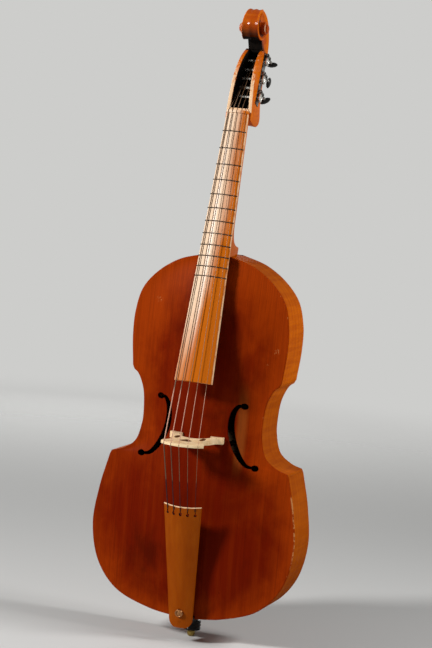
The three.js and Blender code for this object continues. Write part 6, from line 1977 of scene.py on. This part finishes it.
def body_amber(name, paints, patterns):
    """The amber varnish of the body, with painted shade darkening it at its bottom, its waist and its shoulders."""
    colours = paints.amber_warm, paints.amber_pale, paints.amber_deep
    # Painted shade: each zone darkens the amber where less lamp light falls, at the bottom, from the waist down and at
    # the shoulders
    depths = (0.5, 0.06, -0.12), (0.3, 0.44, 0.54), (0.32, 0.31, 0.27)
    return maple_finish(name, paints, patterns, colours, 0.04, depths)


class VIOL_OT_back(Making, bpy.types.Operator):
    """Plane the flat back with its fold"""

    bl_idname = "viol.back"
    bl_label = "Back"

    def execute(self, context):
        paints, sizes = kept(context)
        back = smoothed(back_piece(sizes.rim_rounding / METRE), 20)
        finish = body_amber("amber_varnish_back", paints, ((9, 9, 120), (70, 20, 5), (900, 200, 12)))
        seated(back, [finish, inner_finish(paints)], ["back"])
        # The inner face of the back takes painted shade for the dark inside of the body
        second_finish(back, facings_of(back)[:, 1] < -0.5)
        return {"FINISHED"}


class VIOL_OT_ribs(Making, bpy.types.Operator):
    """Bend the six ribs with their linings round the outline"""

    bl_idname = "viol.ribs"
    bl_label = "Ribs"

    def execute(self, context):
        paints, _ = kept(context)
        finish = body_amber("amber_varnish_rib", paints, ((105, 7), (5, 90), (14, 900)))
        for name, (rib, path, run) in rib_pieces().items():
            run_marks(smoothed(rib, 30), path, run)
            seated(rib, finish, [name])
        return {"FINISHED"}


class VIOL_OT_neck(Making, bpy.types.Operator):
    """Carve the neck, heel, pegbox and scroll"""

    bl_idname = "viol.neck"
    bl_label = "Neck, pegbox and scroll"

    def execute(self, context):
        paints, sizes = kept(context)
        hollow = sizes.scroll_hollow / METRE
        neck = smoothed(neck_piece(hollow), 34)
        to_head = HEAD_FRAME.inverted()
        place = moved(corners_of(neck), to_head)
        marked(neck, "worn", worn_at(place))
        # The shade mark carries the painted shade under the scroll's curl
        marked(neck, "shade", shade_at(place, hollow))
        outer = maple_finish("head_varnish", paints, ((14, 14, 130), (60, 60, 9), (500, 500, 18)),
                             (paints.head_warm, paints.head_pale, paints.head_deep), 0.16, ((0.32, 0.8, 0.66),),
                             worn=True, foot=(paints.amber_pale, 0.94, 1.0), shaded=True)
        seated(neck, [outer, stain_and_shade_finish(paints)], ["neck"])
        # The pegbox's inside is stained black, and its throat takes the same black as painted shade
        second_finish(neck, inside_pegbox(moved(centres_of(neck), to_head)))
        return {"FINISHED"}


def inside_pegbox(place):
    """Which places in the head's frame lie on the stained walls and floor of the pegbox, or on its throat, which is
    blackened as painted shade under the scroll.
    """
    x, deep, up = np.abs(place[:, 0]), place[:, 1], place[:, 2]
    back, front = (along(PEGBOX_SHARES, up / PEGBOX_LENGTH, column) * CHIN_DEPTH for column in (1, 2))
    box = (x < pegbox_half(up) - PEGBOX_WALL + 0.3) & (deep > front + 1.4) & (deep < back - PEGBOX_FLOOR + 1)
    box &= (up > 2) & (up < PEGBOX_LENGTH - 2)
    rise = np.degrees(np.mod(np.arctan2(up - VOLUTE_UP, deep + VOLUTE_FORWARD), 2 * np.pi))
    # The throat under the scroll takes the black finish as painted shade
    throat = (x < PEGBOX_TOP_WIDTH / 2 - PEGBOX_WALL * 0.7) & (up > PEGBOX_LENGTH - PEGBOX_WALL - 0.5)
    return box | throat & (rise > 250) & (rise < 342) & (deep < THROAT_DEPTH - 6)


def about_eye(place):
    """How far places in the head's frame lie from the middle of the scroll, and their turns from the spiral's start."""
    across, rise = place[:, 1] + VOLUTE_FORWARD, place[:, 2] - VOLUTE_UP
    turn = np.mod(np.arctan2(rise, across) - VOLUTE_START, 2 * np.pi) + VOLUTE_START
    return np.hypot(across, rise), turn


def worn_at(place):
    """How worn the head is: most along the front edges of the pegbox and the bevelled edges of the scroll."""
    x, deep, up = np.abs(place[:, 0]), place[:, 1], place[:, 2]
    front = along(PEGBOX_SHARES, up / PEGBOX_LENGTH, 2) * CHIN_DEPTH
    on_box = clamp(1.3 - (deep - front) / 1.6) * (x > pegbox_half(up) - PEGBOX_WALL - 1)
    on_box = on_box * (up > -2) * (up < PEGBOX_LENGTH - 4)
    on_box = on_box * blend(1, 0.45, clamp(up / PEGBOX_LENGTH * 1.5 - 0.2))
    radius, first_turn = about_eye(place)
    on_scroll = np.zeros(len(place))
    for turn in (first_turn, first_turn + 2 * math.pi):
        near = clamp(1.25 - np.abs(radius - volute_radius(turn)) / 2.6)
        near = near * clamp(1.2 - np.abs(x - volute_half(turn)) / 1.6) * (turn < VOLUTE_END)
        on_scroll = np.maximum(on_scroll, near)
    return np.maximum(on_box, on_scroll * (up > PEGBOX_LENGTH - 10) * 0.8)


def shade_at(place, hollow):
    """How dark the head is painted: painted shade on the scroll's face under its curl, darker in its hollows, or how
    pale on its rim.
    """
    x = np.abs(place[:, 0])
    radius, turn = about_eye(place)
    turn = turn + 2 * np.pi * (radius < volute_radius(turn + 2 * np.pi) * 1.02)
    outer, half = volute_radius(turn), volute_half(turn)
    # Painted shade on the lower half of the scroll's face, where it turns down under the curl
    front = clamp((turn - math.radians(171)) / math.radians(62)) ** 1.2 * (turn < math.radians(334))
    front = front * clamp((0.99 - x / half) / 0.12) * clamp(1 - (outer - radius) / 6)
    pit = clamp((half - x) / (0.8 * hollow)) * clamp((outer - 4.5 - radius) / 2)
    pit = pit * clamp((radius - 7) / 2) * clamp((21 - radius) / 4)
    ring = clamp((x / half - 0.8) / 0.08) * clamp((radius - 17) / 3) * clamp(1 - pit * 2)
    shade = np.maximum(front, pit * 0.9)
    return np.where(place[:, 2] > PEGBOX_LENGTH - 12, np.where(shade > 0.05, shade, -ring), 0)


class VIOL_OT_board(Making, bpy.types.Operator):
    """Plane the arched fingerboard, set its nut on it and let in its twelve frets"""

    bl_idname = "viol.board"
    bl_label = "Fingerboard, nut and frets"

    def execute(self, context):
        paints, _ = kept(context)
        finish = board_finish(paints)
        board = smoothed(board_piece(), 30)
        place = moved(corners_of(board), BOARD_FRAME.inverted())
        off = board_width(-place[:, 2]) / 2 - np.abs(place[:, 0])
        marked(board, "worn", clamp(1.6 - off / 0.9))
        seated(board, finish, ["fingerboard"])
        nut = smoothed(nut_piece(), 40)
        seated(marked(nut, "worn", np.zeros(len(nut.data.vertices))), finish, ["nut"])
        metal = metal_finish("dark_fret", paints.fret_dark, paints.black, 0.34)
        for number in range(1, FRET_COUNT + 1):
            grid = fret_grid(fret_down(number), FRET_RISE, FRET_SEAT, FRET_WIDTH, FRET_OVERHANG, True)
            fret = solid(grid, BOARD_FRAME, f"fret_wire_{number}")
            seated(smoothed(fret, 40), metal, [f"fret_{number}"])
        return {"FINISHED"}


class VIOL_OT_strings(Making, bpy.types.Operator):
    """String the instrument: each string from its ball to its turns on a roller"""

    bl_idname = "viol.strings"
    bl_label = "Strings"

    def execute(self, context):
        paints, _ = kept(context)
        wound = string_finish("wound_string", paints, True, paints.wound, paints.dull_wound)
        plain = string_finish("plain_string", paints, False, paints.plain, paints.dull_plain)
        for index in range(STRING_COUNT):
            finish, slot = (wound, "wound_string") if index < WOUND_STRINGS else (plain, "plain_string")
            seated(smoothed(string_piece(index), 60), finish, [f"string_{index + 1}"])
        return {"FINISHED"}


class VIOL_OT_bridge(Making, bpy.types.Operator):
    """Cut the bridge and fit its feet to the belly"""

    bl_idname = "viol.bridge"
    bl_label = "Bridge"

    def execute(self, context):
        paints, _ = kept(context)
        bridge = smoothed(eased(bridge_piece(), 0.5, 2, 55), 35)
        middle = centres_of(bridge)
        inside = np.zeros(len(middle), bool)
        for x, y, wide, tall in bridge_windows():
            inside |= np.hypot(middle[:, 0] - x, (middle[:, 1] - y) / tall) < wide / 2 + 0.3
        inside &= np.abs(facings_of(bridge)[:, 2]) < 0.3
        # Painted shade: the walls of the bridge's windows get a dark finish
        shade = dark_finish("bridge_window", paints.bridge_fleck, paints.brown_black, 0.6, (60, 900, 900))
        seated(bridge, [bridge_finish(paints), shade], ["bridge"])
        second_finish(bridge, inside)
        return {"FINISHED"}


class VIOL_OT_tail(Making, bpy.types.Operator):
    """Make the tailpiece with its knob, its cord and the saddle"""

    bl_idname = "viol.tail"
    bl_label = "Tailpiece, cord and saddle"

    def execute(self, context):
        paints, _ = kept(context)
        wood = maple_finish("tailpiece_wood", paints, ((30, 30, 10), (90, 60, 6), (1100, 300, 16)),
                            (paints.tail_warm, paints.tail_pale, paints.tail_deep), 0.08, worn=True)
        tail = smoothed(tail_piece(), 30)
        to_tail = TAIL_FRAME.inverted()
        down = -moved(corners_of(tail), to_tail)[:, 2]
        marked(tail, "worn", clamp(1.7 - down / 0.8) * (down > -1))
        # Painted shade: the walls of the slots and keyholes get a dark finish
        dark = dark_finish("keyhole", paints.black, paints.brown_black, 0.6, (300, 300, 60))
        seated(tail, [wood, dark], ["tailpiece"])
        second_finish(tail, in_keyholes(moved(centres_of(tail), to_tail)))
        knob = metal_finish("knob_bronze", paints.bronze, paints.dull_bronze, 0.22)
        seated(smoothed(knob_piece(), 35), knob, ["tail_knob"])
        braid = dark_finish("tail_cord", paints.black, paints.brown_black, 0.5, (300, 300, 300))
        seated(smoothed(cord_piece(), 60), braid, ["tail_cord"])
        ebony = dark_finish("ebony", paints.black, paints.brown_black, 0.35, (60, 900, 900))
        seated(smoothed(saddle_piece(), 40), ebony, ["saddle"])
        return {"FINISHED"}


class VIOL_OT_end(Making, bpy.types.Operator):
    """Turn the end collar, the end pin and its clamp screw"""

    bl_idname = "viol.end"
    bl_label = "End collar, pin and screw"

    def execute(self, context):
        paints, _ = kept(context)
        black = dark_finish("collar_black", paints.black, paints.brown_black, 0.24, (200, 200, 60), 0.12, 0.12)
        seated(smoothed(collar_piece(), 35), black, ["end_collar"])
        brass = metal_finish("pin_brass", paints.brass, paints.dull_brass, 0.25)
        seated(smoothed(pin_piece(), 35), brass, ["end_pin"], "end_pin")
        steel = metal_finish("screw_steel", paints.steel, paints.dull_steel, 0.2)
        seated(smoothed(screw_piece(), 35), steel, ["thumb_screw"], "thumb_screw")
        return {"FINISHED"}


class VIOL_OT_machines(Making, bpy.types.Operator):
    """Build the five geared tuning machines: rollers, keys and plates"""

    bl_idname = "viol.machines"
    bl_label = "Tuning machines"

    def execute(self, context):
        paints, sizes = kept(context)
        steel = metal_finish("machine_steel", paints.steel, paints.dull_steel, 0.22)
        # Painted reflection: the plates are painted dark as if reflecting a dark room, with bright steel patches for
        # glints
        plate = metal_finish("plate_steel", paints.plate_painted_reflection, paints.steel, 0.24)
        # Painted highlight: the rollers are brighter than steel, though they sit in the pegbox's shade
        bright = metal_finish("roller_steel", paints.roller_steel_highlight, paints.dull_brass, 0.2)
        black = dark_finish("key_black", paints.black, paints.brown_black, 0.14, (220, 220, 90), 0.1, 0.15)
        for index in range(STRING_COUNT):
            roller_name, key_name = f"roller_{index + 1}", f"key_{index + 1}"
            seated(smoothed(roller_piece(index), 35), bright, [roller_name], roller_name)
            key = smoothed(key_piece(index, sizes.button_swell), 35)
            seated(key, [black, steel], [key_name], key_name)
            deep = moved(centres_of(key), HEAD_FRAME.inverted())[:, 1] - ROLLER_DEPTH
            second_finish(key, deep < KEY_REACH - BUTTON_HEIGHT / 2 - 0.4)
        for place, side in (("treble", 1), ("bass", -1)):
            seated(smoothed(plate_piece(side, place), 30), plate, [f"machine_plate_{place}"])
        return {"FINISHED"}


INNER = (*[f"corner_block_{place}_{side}" for place in ("lower", "upper") for side in ("treble", "bass")],
         "tail_block", "neck_block", "bass_bar", "sound_post", "sound_post_plate", "back_brace")


class VIOL_OT_inner(Making, bpy.types.Operator):
    """Give the blocks, bar, post and brace inside the body their bare wood"""

    bl_idname = "viol.inner"
    bl_label = "Inner pieces"

    def execute(self, context):
        paints, _ = kept(context)
        wood = spruce_finish(paints)
        for name in INNER:
            thing = bpy.data.objects[name]
            thing.data.materials.clear()
            thing.data.materials.append(wood)
        return {"FINISHED"}


# In metres: where the lamps look, where the floor starts and ends to fade, and how far it reaches
STAGE_MIDDLE = (0, -0.05, 0.4)
FLOOR_FADE = (1.1, 4.0)
FLOOR_REACH = 8
# Each lamp's name, its direction from the middle, how far away it stands and how wide it is
LAMPS = (("key", (-0.8, -1, 0.58), 3.4, 0.6), ("side", (1, 0.03, 0.66), 2.3, 0.9), ("rear", (-0.5, 1, 0.15), 3.4, 1.8))


class VIOL_OT_stage(Making, bpy.types.Operator):
    """Lay the pale floor, set the lamps and the even light, and stand the camera where the picture was taken"""

    bl_idname = "viol.stage"
    bl_label = "Stage, lamps and camera"

    def execute(self, context):
        paints, sizes = kept(context)
        scene = bpy.context.scene
        scene.view_settings.view_transform = "Standard"
        low = solid_box[0][2] - 0.0002
        reach = np.linspace(-FLOOR_REACH, FLOOR_REACH, 3)
        grid = spread(*np.meshgrid(reach, reach), low) / METRE
        floor = solid(grid, name="stage_floor", wrap=False, ends=False)
        finish = Finish("floor", Roughness=0.9, Specular_IOR_Level=0.1, Base_Color=paints.floor)
        far = finish.length(finish.place() * (1, 1, 0))
        clear = finish.node("BsdfTransparent")
        fade = {"Fac": finish.rise(far, *FLOOR_FADE), "Shader": finish.shader, "Shader_001": clear}
        finish.put(finish.end, "Surface", finish.node("MixShader", None, fade))
        floor.data.materials.append(finish.material)

        scene.world = bpy.data.worlds.new("studio")
        sky = Graph(scene.world)
        ways = [sky.node("LightPath", out=name) for name in ("Is Camera Ray", "Is Glossy Ray", "Is Transmission Ray")]
        plain = sky.node("Background", None, {"Color": (1, 1, 1), "Strength": sizes.daylight})
        seen = sky.node("Background", None, {"Color": paints.backdrop, "Strength": 1})
        both = sky.node("MixShader", None, {"Fac": ways[0] + ways[1] + ways[2], "Shader": plain, "Shader_001": seen})
        sky.node("OutputWorld", None, {"Surface": both}, None)

        powers = sizes.key_light, sizes.side_light, sizes.rear_light
        for (name, direction, away, wide), watts in zip(LAMPS, powers):
            lamp = bpy.data.lights.new(f"lamp_{name}", "AREA")
            lamp.shape, lamp.size, lamp.energy = "DISK", wide, watts
            thing = bpy.data.objects.new(f"lamp_{name}", lamp)
            towards = Vector(direction).normalized()
            turn = towards.to_track_quat("Z", "Y").to_matrix().to_4x4()
            thing.matrix_world = Matrix.Translation(Vector(STAGE_MIDDLE) + towards * away) @ turn
            scene.collection.objects.link(thing)

        lens = bpy.data.cameras.new("camera")
        lens.sensor_fit, lens.sensor_height = "VERTICAL", SENSOR_HEIGHT
        lens.lens = CAMERA_FOCUS / PICTURE_HEIGHT * SENSOR_HEIGHT
        lens.clip_end = 100
        camera = bpy.data.objects.new("camera", lens)
        ahead = Vector(CAMERA_AHEAD).normalized()
        right = ahead.cross(Vector(CAMERA_UP)).normalized()
        turn = Matrix([right, right.cross(ahead), -ahead]).transposed()
        camera.matrix_world = Matrix.Translation(Vector(CAMERA_PLACE) * METRE) @ turn.to_4x4()
        scene.collection.objects.link(camera)
        scene.camera = camera
        return {"FINISHED"}


OPERATORS = (VIOL_OT_belly, VIOL_OT_back, VIOL_OT_ribs, VIOL_OT_neck, VIOL_OT_board, VIOL_OT_strings, VIOL_OT_bridge,
             VIOL_OT_tail, VIOL_OT_end, VIOL_OT_machines, VIOL_OT_inner, VIOL_OT_stage)


class VIOL_PT_panel(bpy.types.Panel):
    """Lists the pieces and their colours and sizes in the sidebar."""

    bl_label = "Viola da gamba"
    bl_space_type = "VIEW_3D"
    bl_region_type = "UI"
    bl_category = "Viol"

    def draw(self, context):
        column = self.layout.column(align=True)
        for operator in OPERATORS:
            column.operator(operator.bl_idname)
        for group in (context.scene.viol_sizes, context.scene.viol_paints):
            column = self.layout.column()
            for name in group.__annotations__:
                column.prop(group, name)


CLASSES = (ViolPaints, ViolSizes, *OPERATORS, VIOL_PT_panel)


def register():
    """Makes the groups, the operators and the panel known, and keeps the groups with the scene."""
    for each in CLASSES:
        bpy.utils.register_class(each)
    bpy.types.Scene.viol_paints = PointerProperty(type=ViolPaints)
    bpy.types.Scene.viol_sizes = PointerProperty(type=ViolSizes)


def unregister():
    """Takes back what register does."""
    del bpy.types.Scene.viol_sizes
    del bpy.types.Scene.viol_paints
    for each in reversed(CLASSES):
        bpy.utils.unregister_class(each)


def main():
    """Builds every piece and the stage."""
    register()
    for operator in OPERATORS:
        getattr(bpy.ops.viol, operator.bl_idname.split(".")[1])()


if __name__ == "__main__":
    main()
